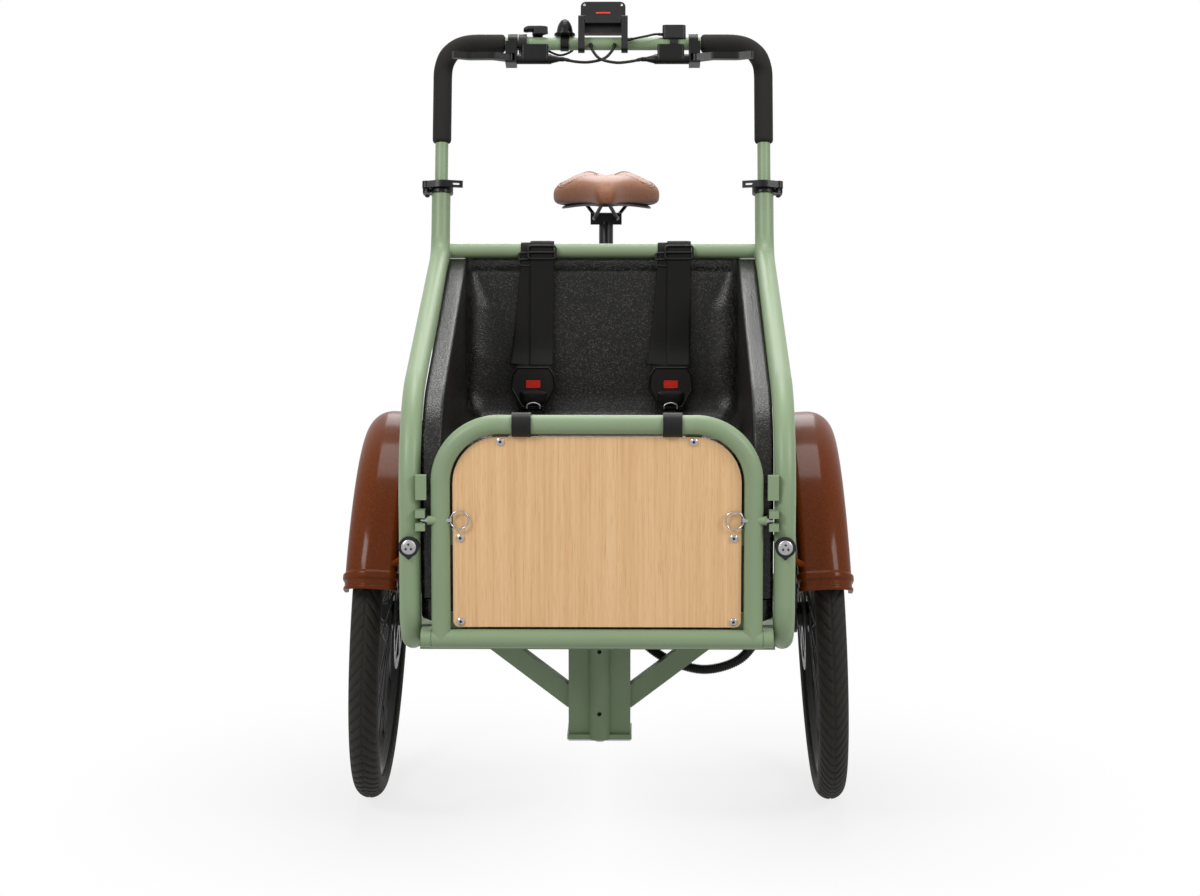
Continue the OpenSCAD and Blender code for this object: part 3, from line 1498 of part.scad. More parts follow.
// Battery behind the seat tube
battery_w = 86;
battery_t = 62;
battery_len = 300;
module battery() placed() color(black)
    on_seat_tube() translate([0, seat_tube_d / 2 + battery_t / 2 + 0.3, 62])
        rounded_block(battery_w, battery_t, battery_len, 14);

// Rear fender and its stays
rear_fender_half = 29;
rear_fender_from = 75;
rear_fender_turn = 178;
module rear_fender() placed() color(brown)
    difference() {
        union() {
            on_rear_axle() rotate(rear_fender_from) rotate_extrude(angle = rear_fender_turn, $fn = 96)
                polygon(concat(
                rear_fender_line(0), backwards(rear_fender_line(-3))
            ));
            both() rod(
                [drop_x + drop_t + 4.2, wheelbase + 8, rear_r + 14],
                [rear_fender_half - 2, wheelbase + (rear_fender_r - 12) * cos(35),
                    rear_r + (rear_fender_r - 12) * sin(35)], 6
            );
        }
        rod([-100, wheelbase, rear_r], [100, wheelbase, rear_r], 20);
    }
function rear_fender_line(grow) = round_path(
    [
        [rear_fender_r - 18, -rear_fender_half - grow], [rear_fender_r + grow, -rear_fender_half - grow],
        [rear_fender_r + grow, rear_fender_half + grow], [rear_fender_r - 18, rear_fender_half + grow]
    ],
    [0, 16 + grow, 16 + grow, 0], 6
);

// Seat post, saddle rails and saddle
saddle_at = seat_tube_at(0, seat_tube_len + seatpost_out);
module seat_post() placed() color(black)
    difference() {
        union() {
            on_seat_tube() translate([0, 0, seat_tube_len - seatpost_in])
                cylinder(d = seatpost_d, h = seatpost_in + seatpost_out);
            translate(saddle_at + [-30, -17, -14]) cube([60, 34, 22]);
        }
        both() saddle_rail(2 * seat);
    }

rail_wire = 7;
rail_half = 22;
module saddle_rail(extra) {
    bent_rod(
        [
            saddle_at + [8, -112, 26], saddle_at + [rail_half, -70, 0], saddle_at + [rail_half, 50, 0],
            saddle_at + [44, 96, 26]
        ],
        [0, 30, 30, 0], rail_wire + extra
    );
}
module saddle_rails() placed() color(black) both() saddle_rail(0);

// Saddle: a lofted pad, wide behind, narrow at its nose
saddle_base_z = 30;
saddle_nose = 27;
saddle_tall = 60;
saddle_droop = 18;
// Half width, crown height and sag of the saddle at share u of its length
saddle_widest = 0.78;
function saddle_taper(u) = u > saddle_widest ? 1 - 2.2 * pow(u - saddle_widest, 1.6) : 1;
function saddle_half(u) =
    saddle_nose + (saddle_w / 2 - saddle_nose) * pow(sin(90 * min(1, u / saddle_widest)), 2.6)
        * saddle_taper(u);
function blunt(v, p) = sign(v) * pow(abs(v), p);
function saddle_end(u) = min(1, sqrt(max(0.02, 1 - pow(2 * u - 1, 10))));
saddle_stations = 15;
saddle_sides = 16;
module saddle() placed() color(tan_leather) {
    points = [
        for (i = [0 : saddle_stations - 1])
            let (
                u = i / (saddle_stations - 1),
                w = saddle_half(u) * saddle_end(u),
                tall = saddle_tall * saddle_end(u) * (0.72 + 0.28 * u),
                y = -saddle_len * 0.56 + saddle_len * u
            )
            for (k = [0 : saddle_sides - 1])
                let (a = 360 * k / saddle_sides)
                let (low = max(0, -sin(a)), x = w * blunt(cos(a), 0.62) * (1 - 0.06 * low * low))
                saddle_at + [
                    x, y, saddle_base_z + tall / 2 * (1 + blunt(max(-1, sin(a) - 0.3 * low), 0.7))
                        - saddle_droop * pow(2 * x / saddle_w, 2)
                ]
    ];
    n = saddle_stations;
    m = saddle_sides;
    faces = [
        [for (k = [m - 1 : -1 : 0]) k],
        [for (k = [0 : m - 1]) (n - 1) * m + k],
        for (i = [0 : n - 2]) for (k = [0 : m - 1])
            let (a = i * m + k, b = i * m + (k + 1) % m)
            each [[a, b, a + m], [b, b + m, a + m]]
    ];
    polyhedron(points, faces);
}

side_rails();
top_cross_tube();
floor_frame();
steering_post();
kingpin();
tub();
footboard();
height_clamps();
clamp_lever_left();
clamp_lever_right();
marker_lights();
marker_lenses();
front_fenders();
front_axles();
front_calipers();
rail_brackets();
shoulder_straps();
crotch_straps();
harness_buckles();
buckle_button_left();
buckle_button_right();
harness_hardware();
cable_loom();
door_frame();
door_panel();
panel_bolts();
door_bumpers();
latch_pin_left();
latch_pin_right();
handlebar();
foam_grips();
brake_bodies();
brake_lever_left();
brake_lever_right();
shifter_body();
shifter_lever();
remote_body();
remote_button();
display_bracket();
display();
bell_body();
bell_striker();
handlebar_cables();
front_tyre_left();
front_tyre_right();
front_wheel_left();
front_wheel_right();
rear_frame();
rear_fender();
battery();
seat_post();
saddle_rails();
saddle();
rear_tyre();
rear_wheel();
rear_sprocket();
crankset();
pedal_left();
pedal_right();
chain();
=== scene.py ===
import json
import logging
import math
from dataclasses import dataclass
from enum import Enum
from functools import reduce
from typing import Protocol, Sequence, Union

import bmesh
import bpy
import numpy as np
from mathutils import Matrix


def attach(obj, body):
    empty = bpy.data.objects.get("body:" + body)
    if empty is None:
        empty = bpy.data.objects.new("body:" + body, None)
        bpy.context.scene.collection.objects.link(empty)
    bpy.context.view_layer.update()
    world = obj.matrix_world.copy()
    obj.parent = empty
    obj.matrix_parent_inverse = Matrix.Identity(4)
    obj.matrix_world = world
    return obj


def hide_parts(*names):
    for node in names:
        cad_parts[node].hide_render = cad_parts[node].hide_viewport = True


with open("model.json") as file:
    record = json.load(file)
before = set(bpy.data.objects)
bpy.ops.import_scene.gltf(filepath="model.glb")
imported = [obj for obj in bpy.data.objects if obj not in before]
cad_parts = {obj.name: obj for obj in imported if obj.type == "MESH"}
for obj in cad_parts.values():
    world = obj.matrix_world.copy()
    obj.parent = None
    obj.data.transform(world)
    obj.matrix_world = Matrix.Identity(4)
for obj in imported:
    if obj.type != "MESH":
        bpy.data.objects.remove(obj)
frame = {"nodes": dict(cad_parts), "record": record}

Array = np.ndarray
Colour = tuple[float, float, float]
log = logging.getLogger("cargo_tricycle")

# Distance along Y from the front axle, the drawing's origin, to the middle of the tricycle
MID_LENGTH = 0.56725


def row(points_mm: Array | Sequence) -> Array:
    """Turns drawing points into the row's frame: millimetres to metres, then Y less the mid-length.

    Args:
        points_mm: Points (..., 3) in the drawing's millimetres.

    Returns:
        The points in metres.
    """
    points = np.asarray(points_mm, dtype=float) / 1000.0
    points[..., 1] -= MID_LENGTH
    return points


def paint(red: int, green: int, blue: int) -> Colour:
    """Linear colour of an eight-bit screen colour, by the sRGB curve."""
    share = np.array([red, green, blue]) / 255.0
    linear = np.where(share <= 0.04045, share / 12.92, ((share + 0.055) / 1.055) ** 2.4)
    return tuple(float(v) for v in linear)


def shade(colour: Colour, factor: float, lift: float = 0.0) -> Colour:
    """A darker or lighter colour: factor * c + lift, at most 1."""
    return tuple(min(1.0, factor * c + lift) for c in colour)


def unit(vectors: Array) -> Array:
    """Vectors (..., 3) divided by their lengths."""
    return vectors / np.maximum(np.linalg.norm(vectors, axis=-1, keepdims=True), 1e-12)


def angles(count: int) -> Array:
    """Even angles of one full turn, which is left open."""
    return np.linspace(0.0, 2 * np.pi, count, endpoint=False)


def blunt(wave: Array, power: float) -> Array:
    """A wave with its sign kept and its size raised to a power; powers under 1 square its round off."""
    return np.sign(wave) * np.abs(wave) ** power


def along(path: Array) -> Array:
    """Length run from the path's start to each of its points."""
    return np.concatenate([[0.0], np.cumsum(np.linalg.norm(np.diff(path, axis=0), axis=1))])


def resample(path: Array, count: int) -> Array:
    """The path again as count points at even steps of length."""
    run = along(path)
    at = np.linspace(0.0, run[-1], count)
    return np.stack([np.interp(at, run, path[:, k]) for k in range(path.shape[1])], axis=1)


def spline(knots: Array | Sequence, count: int) -> Array:
    """A Catmull-Rom curve through the knots, at even steps of length.

    Each span between knots b and c, with neighbours a and d, is half of
    2b + (c-a)t + (2a-5b+4c-d)t^2 + (3b-a-3c+d)t^3.

    Args:
        knots: Points (n, 2 or 3) that the curve passes through.
        count: Number of points wanted.

    Returns:
        Points (count, 2 or 3).
    """
    knots = np.asarray(knots, dtype=float)
    ends = np.vstack([2 * knots[0] - knots[1], knots, 2 * knots[-1] - knots[-2]])
    a, b, c, d = (ends[k : len(ends) - 3 + k, None, :] for k in range(4))
    t = np.linspace(0.0, 1.0, 24)[None, :, None]
    fine = 0.5 * (2 * b + (c - a) * t + (2 * a - 5 * b + 4 * c - d) * t**2 + (3 * b - a - 3 * c + d) * t**3)
    return resample(fine.reshape(-1, knots.shape[1]), count)


def filleted(corners: Array | Sequence, radii: Sequence[float], count: int) -> Array:
    """A polyline with rounded corners, at even steps of length.

    A corner is replaced by the quadratic curve between its two tangent points, each radius * tan(turn / 2) away.

    Args:
        corners: Points (n, 2).
        radii: Corner radius at each point, 0 where it stays sharp.
        count: Number of points wanted.

    Returns:
        Points (count, 2).
    """
    corners = np.asarray(corners, dtype=float)
    way = unit(np.diff(corners, axis=0))
    turn = np.arccos(np.clip(np.sum(way[:-1] * way[1:], axis=1), -1.0, 1.0))
    back = (np.asarray(radii, dtype=float)[1:-1] * np.tan(turn / 2))[:, None]
    t = np.linspace(0.0, 1.0, 16)[None, :, None]
    b = corners[1:-1, None]
    a, c = b - (back * way[:-1])[:, None], b + (back * way[1:])[:, None]
    bends = ((1 - t) ** 2 * a + 2 * t * (1 - t) * b + t**2 * c).reshape(-1, 2)
    return resample(np.vstack([corners[:1], bends, corners[-1:]]), count)


def carried(path: Array, section: Array, up: Array | Sequence[float]) -> Array:
    """A section carried along a path: path + x * side + y * lift, with side = way x up and lift = side x way.

    Args:
        path: Points (n, 3).
        section: Points (m, 2), or (n, m, 2) where it changes along the path.
        up: Direction, or one for each point, that lift leans to.

    Returns:
        Grid (n, m, 3).
    """
    way = unit(np.gradient(path, axis=0))
    side = unit(np.cross(way, np.broadcast_to(np.asarray(up, dtype=float), way.shape)))
    lift = np.cross(side, way)
    section = np.broadcast_to(section, (len(path),) + section.shape[-2:])
    return path[:, None] + section[..., :1] * side[:, None] + section[..., 1:] * lift[:, None]


def ring(sides: int, radius: float | Array = 1.0) -> Array:
    """A circle's section: radius * (cos a, sin a) at even angles, or a stack of them for an array of radii."""
    a = angles(sides)
    circle = np.stack([np.cos(a), np.sin(a)], axis=1)
    return np.asarray(radius, dtype=float)[..., None, None] * circle


def turned(profile: Array | Sequence, origin: Array | Sequence, axis: Array | Sequence, sides: int) -> Array:
    """A profile of (run along the axis, radius) turned about the axis.

    Args:
        profile: Points (n, 2).
        origin: Point where the run is 0.
        axis: Direction of the axis.
        sides: Steps round the axis.

    Returns:
        Grid (n, sides, 3), closed round its second way.
    """
    profile = np.asarray(profile, dtype=float)
    axis = unit(np.asarray(axis, dtype=float))
    cross = unit(np.cross(axis, [0.31, 0.55, 0.77]))
    a = angles(sides)[None, :, None]
    spoke = np.cos(a) * cross + np.sin(a) * np.cross(axis, cross)
    return np.asarray(origin, dtype=float) + profile[:, :1, None] * axis + profile[:, 1:, None] * spoke


@dataclass
class Patch:
    """A grid surface of a piece.

    Fields:
        points: Grid (n, m, 3).
        closed_u, closed_v: The first or second way runs back to its start.
        caps: The first and last rows are closed by a flat face each.
        size: Lengths of the whole grid in the UV map, so that a pattern keeps its scale.
    """

    points: Array
    closed_u: bool = False
    closed_v: bool = False
    caps: bool = False
    size: tuple[float, float] = (1.0, 1.0)

    @classmethod
    def rod(cls, points: Array) -> "Patch":
        """A tube whose two ends are capped."""
        return cls(points, closed_v=True, caps=True)

    @classmethod
    def hoop(cls, points: Array) -> "Patch":
        """A tube that runs back into its own start."""
        return cls(points, closed_u=True, closed_v=True)

    def quads(self) -> tuple[Array, Array]:
        """Corner numbers and UVs of the faces.

        Returns:
            Corners (f, 4) and UVs (f, 4, 2); face (i, j) joins rows i and i+1 and columns j and j+1.
        """
        n, m = self.points.shape[:2]
        rows, columns = n - (not self.closed_u), m - (not self.closed_v)
        i, j = (k.ravel() for k in np.meshgrid(np.arange(rows), np.arange(columns), indexing="ij"))
        u = np.stack([i, i, i + 1, i + 1], axis=1)
        v = np.stack([j, j + 1, j + 1, j], axis=1)
        uv = np.stack([u / rows * self.size[0], v / columns * self.size[1]], axis=2)
        return (u % n) * m + v % m, uv


class Body(str, Enum):
    """The moving bodies that new pieces ride on."""

    FRONT = "front_frame"
    BAR = "handlebar"
    DISPLAY = "display"
    SHIFTER = "shifter_lever"
    DOOR = "door"
    SEAT = "seat"
    REAR = "rear"
    WHEEL_LEFT = "front_wheel_left"
    WHEEL_RIGHT = "front_wheel_right"
    WHEEL_REAR = "rear_wheel"


def make_piece(
    name: str,
    patches: Sequence[Patch],
    finish: bpy.types.Material,
    body: Body,
    stands_for: Sequence[str] = (),
) -> bpy.types.Object:
    """Puts patches into one mesh object, turns its faces outwards, and hangs it on a body.

    Args:
        name: Object name.
        patches: Grid surfaces of the piece.
        finish: Its material.
        body: Body that it moves with.
        stands_for: CAD nodes that it replaces.

    Returns:
        The object, at the origin.
    """
    points, faces, uvs, start = [], [], [], 0
    for patch in patches:
        n, m = patch.points.shape[:2]
        quads, uv = patch.quads()
        points.append(patch.points.reshape(-1, 3))
        faces += (quads + start).tolist()
        uvs.append(uv.reshape(-1, 2))
        if patch.caps:
            faces += [list(range(start + m - 1, start - 1, -1)), list(range(start + (n - 1) * m, start + n * m))]
            uvs.append(np.zeros((2 * m, 2)))
        start += n * m
    mesh = bpy.data.meshes.new(name)
    mesh.from_pydata(np.vstack(points).tolist(), [], faces)
    mesh.uv_layers.new(name="weave").data.foreach_set("uv", np.vstack(uvs).ravel().astype(np.float32))
    mesh.polygons.foreach_set("use_smooth", np.array([len(f) == 4 for f in faces]))
    work = bmesh.new()
    work.from_mesh(mesh)
    bmesh.ops.remove_doubles(work, verts=work.verts, dist=1e-7)
    bmesh.ops.recalc_face_normals(work, faces=work.faces)
    work.to_mesh(mesh)
    work.free()
    mesh.materials.append(finish)
    piece = bpy.data.objects.new(name, mesh)
    bpy.context.scene.collection.objects.link(piece)
    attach(piece, body.value)
    if stands_for:
        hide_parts(*stands_for)
    log.info("%s: %d faces on %s", name, len(faces), body.value)
    return piece


Number = Union[float, "Wire"]


class Wire:
    """A shader socket with arithmetic: each operator or method makes one node."""

    def __init__(self, sheet: "NodeSheet", socket: bpy.types.NodeSocket) -> None:
        """Keeps the socket and the sheet that it is on."""
        self.sheet = sheet
        self.socket = socket

    def __add__(self, other: Number) -> "Wire":
        """Sum."""
        return self.sheet.math("ADD", self, other)

    __radd__ = __add__

    def __mul__(self, other: Number) -> "Wire":
        """Product."""
        return self.sheet.math("MULTIPLY", self, other)

    __rmul__ = __mul__

    def __sub__(self, other: Number) -> "Wire":
        """Difference."""
        return self.sheet.math("SUBTRACT", self, other)

    def __rsub__(self, other: Number) -> "Wire":
        """Difference from a number."""
        return self.sheet.math("SUBTRACT", other, self)

    def __truediv__(self, other: Number) -> "Wire":
        """Quotient."""
        return self.sheet.math("DIVIDE", self, other)

    def __pow__(self, other: Number) -> "Wire":
        """Power."""
        return self.sheet.math("POWER", self, other)

    def __abs__(self) -> "Wire":
        """Size without sign."""
        return self.sheet.math("ABSOLUTE", self)

    def wave(self, period: float) -> "Wire":
        """A sine that repeats after a period."""
        return self.sheet.math("SINE", self * 2 * math.pi / period)

    def larger(self, other: Number) -> "Wire":
        """The larger of two."""
        return self.sheet.math("MAXIMUM", self, other)

    def smaller(self, other: Number) -> "Wire":
        """The smaller of two."""
        return self.sheet.math("MINIMUM", self, other)

    def step(self, low: float, high: float) -> "Wire":
        """A smooth step from 0 at low to 1 at high; high may be the smaller."""
        flip = low > high
        ends = {0: self, 1: min(low, high), 2: max(low, high), 3: float(flip), 4: float(not flip)}
        return self.sheet.wire("ShaderNodeMapRange", {"interpolation_type": "SMOOTHSTEP"}, ends)


class NodeSheet:
    """The node tree of one material, or of the world."""

    def __init__(self, name: str, world: bpy.types.World | None = None) -> None:
        """Starts an empty material, or empties the world's tree."""
        self.owner = world or bpy.data.materials.new(name)
        self.owner.use_nodes = True
        self.tree = self.owner.node_tree
        self.tree.nodes.clear()
        self.spot: Wire | None = None

    def node(self, kind: str, settings: dict | None = None, inputs: dict | None = None) -> bpy.types.Node:
        """Makes a node; an input is a Wire to link or a value to set.

        Args:
            kind: Node type.
            settings: Attributes of the node.
            inputs: Values by the socket's name or number.

        Returns:
            The node.
        """
        made = self.tree.nodes.new(kind)
        for key, value in (settings or {}).items():
            setattr(made, key, value)
        for key, value in (inputs or {}).items():
            if isinstance(value, Wire):
                self.tree.links.new(value.socket, made.inputs[key])
            else:
                made.inputs[key].default_value = value
        return made

    def wire(
        self, kind: str, settings: dict | None = None, inputs: dict | None = None, output: int | str = 0
    ) -> Wire:
        """One output of a new node."""
        return Wire(self, self.node(kind, settings, inputs).outputs[output])

    def math(self, operation: str, *terms: Number) -> Wire:
        """One Math node on its terms."""
        return self.wire("ShaderNodeMath", {"operation": operation}, dict(enumerate(terms)))

    def place(self) -> Wire:
        """Object coordinates, which are the row's metres."""
        if self.spot is None:
            self.spot = self.wire("ShaderNodeTexCoord", output="Object")
        return self.spot

    def axes(self, vector: Wire | None = None) -> tuple[Wire, Wire, Wire]:
        """The three parts of a vector, or of the place."""
        found = self.node("ShaderNodeSeparateXYZ", inputs={0: vector or self.place()})
        return tuple(Wire(self, socket) for socket in found.outputs)

    def weave(self) -> tuple[Wire, Wire]:
        """The piece's own UV, in metres along and across."""
        return self.axes(self.wire("ShaderNodeUVMap", {"uv_map": "weave"}))[:2]

    def stretched(self, x: float, y: float, z: float) -> Wire:
        """The place scaled along each axis."""
        return self.wire("ShaderNodeMapping", {"vector_type": "POINT"}, {0: self.place(), 3: (x, y, z)})

    def noise(self, scale: float, detail: float = 2.0, rough: float = 0.5, at: Wire | None = None) -> Wire:
        """Soft noise from 0 to 1."""
        inputs = {"Vector": at or self.place(), "Scale": scale, "Detail": detail, "Roughness": rough}
        return self.wire("ShaderNodeTexNoise", inputs=inputs)

    def cells(self, scale: float, output: str = "Distance") -> Wire:
        """Distance to the nearest of scattered points, 0 at a point, or another output of the cells."""
        return self.wire("ShaderNodeTexVoronoi", inputs={"Vector": self.place(), "Scale": scale}, output=output)

    def flecks(self, scale: float) -> Wire:
        """One random number for each scattered cell."""
        return self.axes(self.cells(scale, "Color"))[0]

    def seen_by(self, *rays: str) -> Wire:
        """1 for the named kinds of ray, 0 for any other."""
        path = self.node("ShaderNodeLightPath")
        return reduce(Wire.larger, [Wire(self, path.outputs[f"Is {ray} Ray"]) for ray in rays])

    def blend(self, share: Number, first: "Colour | Wire", second: "Colour | Wire") -> Wire:
        """First colour at share 0, second at share 1."""
        ends = [colour if isinstance(colour, Wire) else (*colour, 1.0) for colour in (first, second)]
        return self.wire("ShaderNodeMix", {"data_type": "RGBA"}, {0: share, 6: ends[0], 7: ends[1]}, 2)

    def bump(self, height: Wire, metres: float, strength: float = 1.0, under: Wire | None = None) -> Wire:
        """A normal from heights, metres deep, over an earlier normal."""
        inputs = {"Height": height, "Distance": metres, "Strength": strength}
        if under:
            inputs["Normal"] = under
        return self.wire("ShaderNodeBump", inputs=inputs)

    def finish(
        self, colour: Wire, rough: Number, metal: Number = 0.0, normal: Wire | None = None, **fixed: float
    ) -> bpy.types.Material:
        """Closes the material with one Principled shader.

        Args:
            colour: Base colour.
            rough: Roughness.
            metal: Metallic share.
            normal: Bumped normal.
            fixed: Constant inputs, with underscores for spaces in their names.

        Returns:
            The material.
        """
        inputs = {"Base Color": colour, "Roughness": rough, "Metallic": metal}
        inputs |= {key.replace("_", " "): value for key, value in fixed.items()}
        if normal:
            inputs["Normal"] = normal
        self.node("ShaderNodeOutputMaterial", inputs={0: self.wire("ShaderNodeBsdfPrincipled", inputs=inputs)})
        return self.owner


class Look(Protocol):
    """What every finish offers."""

    def material(self) -> bpy.types.Material:
        """Builds the material."""


@dataclass(frozen=True)
class PowderCoat:
    """Satin powder coat: fine orange peel, a faint mottle and a little dulling."""

    name: str
    colour: Colour
    rough: float = 0.42
    peel: float = 0.00012

    def material(self) -> bpy.types.Material:
        """Builds the material."""
        sheet = NodeSheet(self.name)
        cloud, grain = sheet.noise(7.0, 3.0), sheet.noise(420.0, 2.0)
        colour = sheet.blend(cloud * 0.7 + grain * 0.3, shade(self.colour, 0.9), shade(self.colour, 1.08))
        peel = sheet.bump(grain, self.peel, 0.5)
        return sheet.finish(colour, self.rough + 0.12 * (cloud - 0.5), 0.0, peel, Specular_IOR_Level=0.35)


@dataclass(frozen=True)
class MouldedPlastic:
    """Moulded plastic or black-coated metal with a spark-eroded grain and rubbed patches."""

    name: str
    colour: Colour
    rough: float = 0.5
    grain_scale: float = 900.0
    grain: float = 0.0001
    gloss: float = 0.3

    def material(self) -> bpy.types.Material:
        """Builds the material."""
        sheet = NodeSheet(self.name)
        cloud, grain = sheet.noise(18.0, 4.0, 0.6), sheet.cells(self.grain_scale)
        colour = sheet.blend(cloud * 0.6 + grain * 0.25, self.colour, shade(self.colour, 1.4, 0.002))
        normal = sheet.bump(grain, self.grain, 0.45)
        return sheet.finish(colour, self.rough + 0.16 * (cloud - 0.5), 0.0, normal, Specular_IOR_Level=self.gloss)


@dataclass(frozen=True)
class PebbledShell:
    """Thermoformed sheet with a coarse pebble, and painted glints as bright flecks on the pebble tops."""

    name: str
    colour: Colour
    fleck: Colour
    pebble_scale: float = 430.0

    def material(self) -> bpy.types.Material:
        """Builds the material."""
        sheet = NodeSheet(self.name)
        pebble, cloud = sheet.cells(self.pebble_scale), sheet.noise(6.0, 3.0)
        # Painted glints: bright flecks of the fleck colour on the pebble tops, mottled by a cloud
        spark = sheet.flecks(self.pebble_scale * 1.3).step(0.45, 1.0) * (1.0 - pebble).step(0.3, 0.8)
        colour = sheet.blend(spark * (0.45 + 0.55 * cloud), self.colour, self.fleck)
        fine = sheet.bump(sheet.noise(900.0, 2.0), 0.00015, 0.4)
        normal = sheet.bump(1.0 - pebble, 0.0007, 0.55, fine)
        return sheet.finish(colour, 0.32 - 0.1 * spark, 0.0, normal, Specular_IOR_Level=0.3)


@dataclass(frozen=True)
class BrushedMetal:
    """Drawn or brushed metal, with streaks along one axis and cloudy handling marks."""

    name: str
    colour: Colour
    streak: tuple[float, float, float] = (40.0, 1400.0, 1400.0)
    rough: float = 0.3

    def material(self) -> bpy.types.Material:
        """Builds the material."""
        sheet = NodeSheet(self.name)
        lines, cloud = sheet.noise(1.0, 3.0, 0.6, sheet.stretched(*self.streak)), sheet.noise(22.0, 3.0)
        colour = sheet.blend(lines * 0.7 + cloud * 0.3, shade(self.colour, 0.78), self.colour)
        rough = self.rough + 0.2 * (lines - 0.5) + 0.1 * cloud
        return sheet.finish(colour, rough, 1.0, sheet.bump(lines, 0.00006, 0.4))


@dataclass(frozen=True)
class OakPly:
    """Oiled oak-faced ply: long vertical grain, short dark pores, and plies that show on the edges."""

    name: str
    light: Colour
    dark: Colour
    pore: Colour

    def material(self) -> bpy.types.Material:
        """Builds the material."""
        sheet = NodeSheet(self.name)
        _, y, _ = sheet.axes()
        figure = sheet.noise(1.0, 3.0, 0.55, sheet.stretched(30.0, 30.0, 1.6))
        lines = sheet.noise(1.0, 4.0, 0.65, sheet.stretched(260.0, 260.0, 3.0))
        band = lines * 0.7 + figure * 0.5
        pores = sheet.noise(1.0, 2.0, 0.7, sheet.stretched(1100.0, 1100.0, 22.0)).step(0.56, 0.7)
        wood = sheet.blend(band.step(0.35, 0.85), self.light, self.dark)
        wood = sheet.blend(pores * 0.4, wood, self.pore)
        plies = y.wave(0.0028).step(0.1, 0.7)
        wood = sheet.blend(plies * 0.16, wood, self.pore)
        normal = sheet.bump(band * 0.3 - pores, 0.00018, 0.4)
        return sheet.finish(wood, 0.46 + 0.2 * pores, 0.0, normal, Specular_IOR_Level=0.3)


@dataclass(frozen=True)
class FlakeGloss:
    """Glossy moulding with ground flakes of several browns under a clear coat."""

    name: str
    colour: Colour
    dark: Colour
    light: Colour

    def material(self) -> bpy.types.Material:
        """Builds the material."""
        sheet = NodeSheet(self.name)
        fleck, cloud = sheet.flecks(620.0), sheet.noise(9.0, 3.0)
        colour = sheet.blend(fleck.step(0.5, 0.95) * 0.4, self.colour, self.dark)
        colour = sheet.blend((1.0 - fleck).step(0.72, 1.0) * (0.15 + 0.3 * cloud), colour, self.light)
        peel = sheet.bump(sheet.noise(160.0, 1.0), 0.00012, 0.25)
        fixed = {"Coat_Weight": 0.18, "Coat_Roughness": 0.14, "Specular_IOR_Level": 0.02}
        return sheet.finish(colour, 0.38 + 0.14 * (cloud - 0.5), 0.0, peel, **fixed)


@dataclass(frozen=True)
class Leather:
    """Saddle hide: close creased grain, with painted shade where it wraps under and painted light on its top."""

    name: str
    colour: Colour
    painted_top_light: Colour
    edge: Colour
    wrap_z: float
    top_z: float

    def material(self) -> bpy.types.Material:
        """Builds the material."""
        sheet = NodeSheet(self.name)
        _, _, z = sheet.axes()
        grain, cloud = sheet.cells(520.0), sheet.noise(16.0, 4.0, 0.6)
        crease = sheet.noise(260.0, 3.0, 0.65)
        # Painted light: paler towards the top of the pad, mottled by a cloud
        colour = sheet.blend(z.step(self.wrap_z, self.top_z) * (0.35 + 0.65 * cloud), self.colour, self.painted_top_light)
        # Painted shade: darker below the wrap line, under the pad; the same dark colour also fills the grain's pores
        # below
        colour = sheet.blend(z.step(self.wrap_z + 0.004, self.wrap_z - 0.004) * 0.8, colour, self.edge)
        colour = sheet.blend(grain.step(0.45, 0.9) * 0.35, colour, self.edge)
        normal = sheet.bump(crease, 0.0004, 0.35, sheet.bump(1.0 - grain, 0.0003, 0.55))
        return sheet.finish(colour, 0.46 + 0.16 * (cloud - 0.5), 0.0, normal, Specular_IOR_Level=0.14)


@dataclass(frozen=True)
class Webbing:
    """Woven harness tape on the piece's own UV: ribs across, a twill of slanting floats, and edge cords."""

    name: str
    colour: Colour
    thread: Colour
    pitch: float = 0.0016

    def material(self) -> bpy.types.Material:
        """Builds the material."""
        sheet = NodeSheet(self.name)
        u, v = sheet.weave()
        rib = u.wave(self.pitch) * 0.5 + 0.5
        twill = (u + v * 0.8).wave(self.pitch * 2.2) * 0.5 + 0.5
        fuzz = sheet.noise(1500.0, 2.0)
        raised = rib * 0.55 + twill * 0.45
        colour = sheet.blend(raised * 0.6 + fuzz * 0.3, self.colour, self.thread)
        normal = sheet.bump(raised + fuzz * 0.3, 0.0005, 0.6)
        return sheet.finish(colour, 0.62 + 0.2 * (fuzz - 0.5), 0.0, normal, Specular_IOR_Level=0.12)


@dataclass(frozen=True)
class Rubber:
    """Rubber or closed-cell foam: open pores, a faint bloom and a matt skin."""

    name: str
    colour: Colour
    bloom: Colour
    pore_scale: float = 1300.0
    pore: float = 0.0002
    rough: float = 0.72

    def material(self) -> bpy.types.Material:
        """Builds the material."""
        sheet = NodeSheet(self.name)
        pores, cloud = sheet.cells(self.pore_scale), sheet.noise(28.0, 4.0, 0.6)
        colour = sheet.blend(cloud * 0.7 + pores * 0.3, self.colour, self.bloom)
        normal = sheet.bump(pores, self.pore, 0.6)
        return sheet.finish(colour, self.rough + 0.15 * (cloud - 0.5), 0.0, normal, Specular_IOR_Level=0.2)


@dataclass(frozen=True)
class SilveredLens:
    """Clear lens on a silvered reflector with a close lattice of prisms."""

    name: str
    colour: Colour
    line: Colour

    def material(self) -> bpy.types.Material:
        """Builds the material."""
        sheet = NodeSheet(self.name)
        x, _, z = sheet.axes()
        prism = abs(x.wave(0.0034)).smaller(abs(z.wave(0.0034)))
        colour = sheet.blend(prism.step(0.25, 0.0) * 0.5, self.colour, self.line)
        normal = sheet.bump(prism, 0.0003, 0.4)
        return sheet.finish(colour, 0.16 + 0.25 * prism, 0.65, normal, Coat_Weight=1.0, Coat_Roughness=0.04)


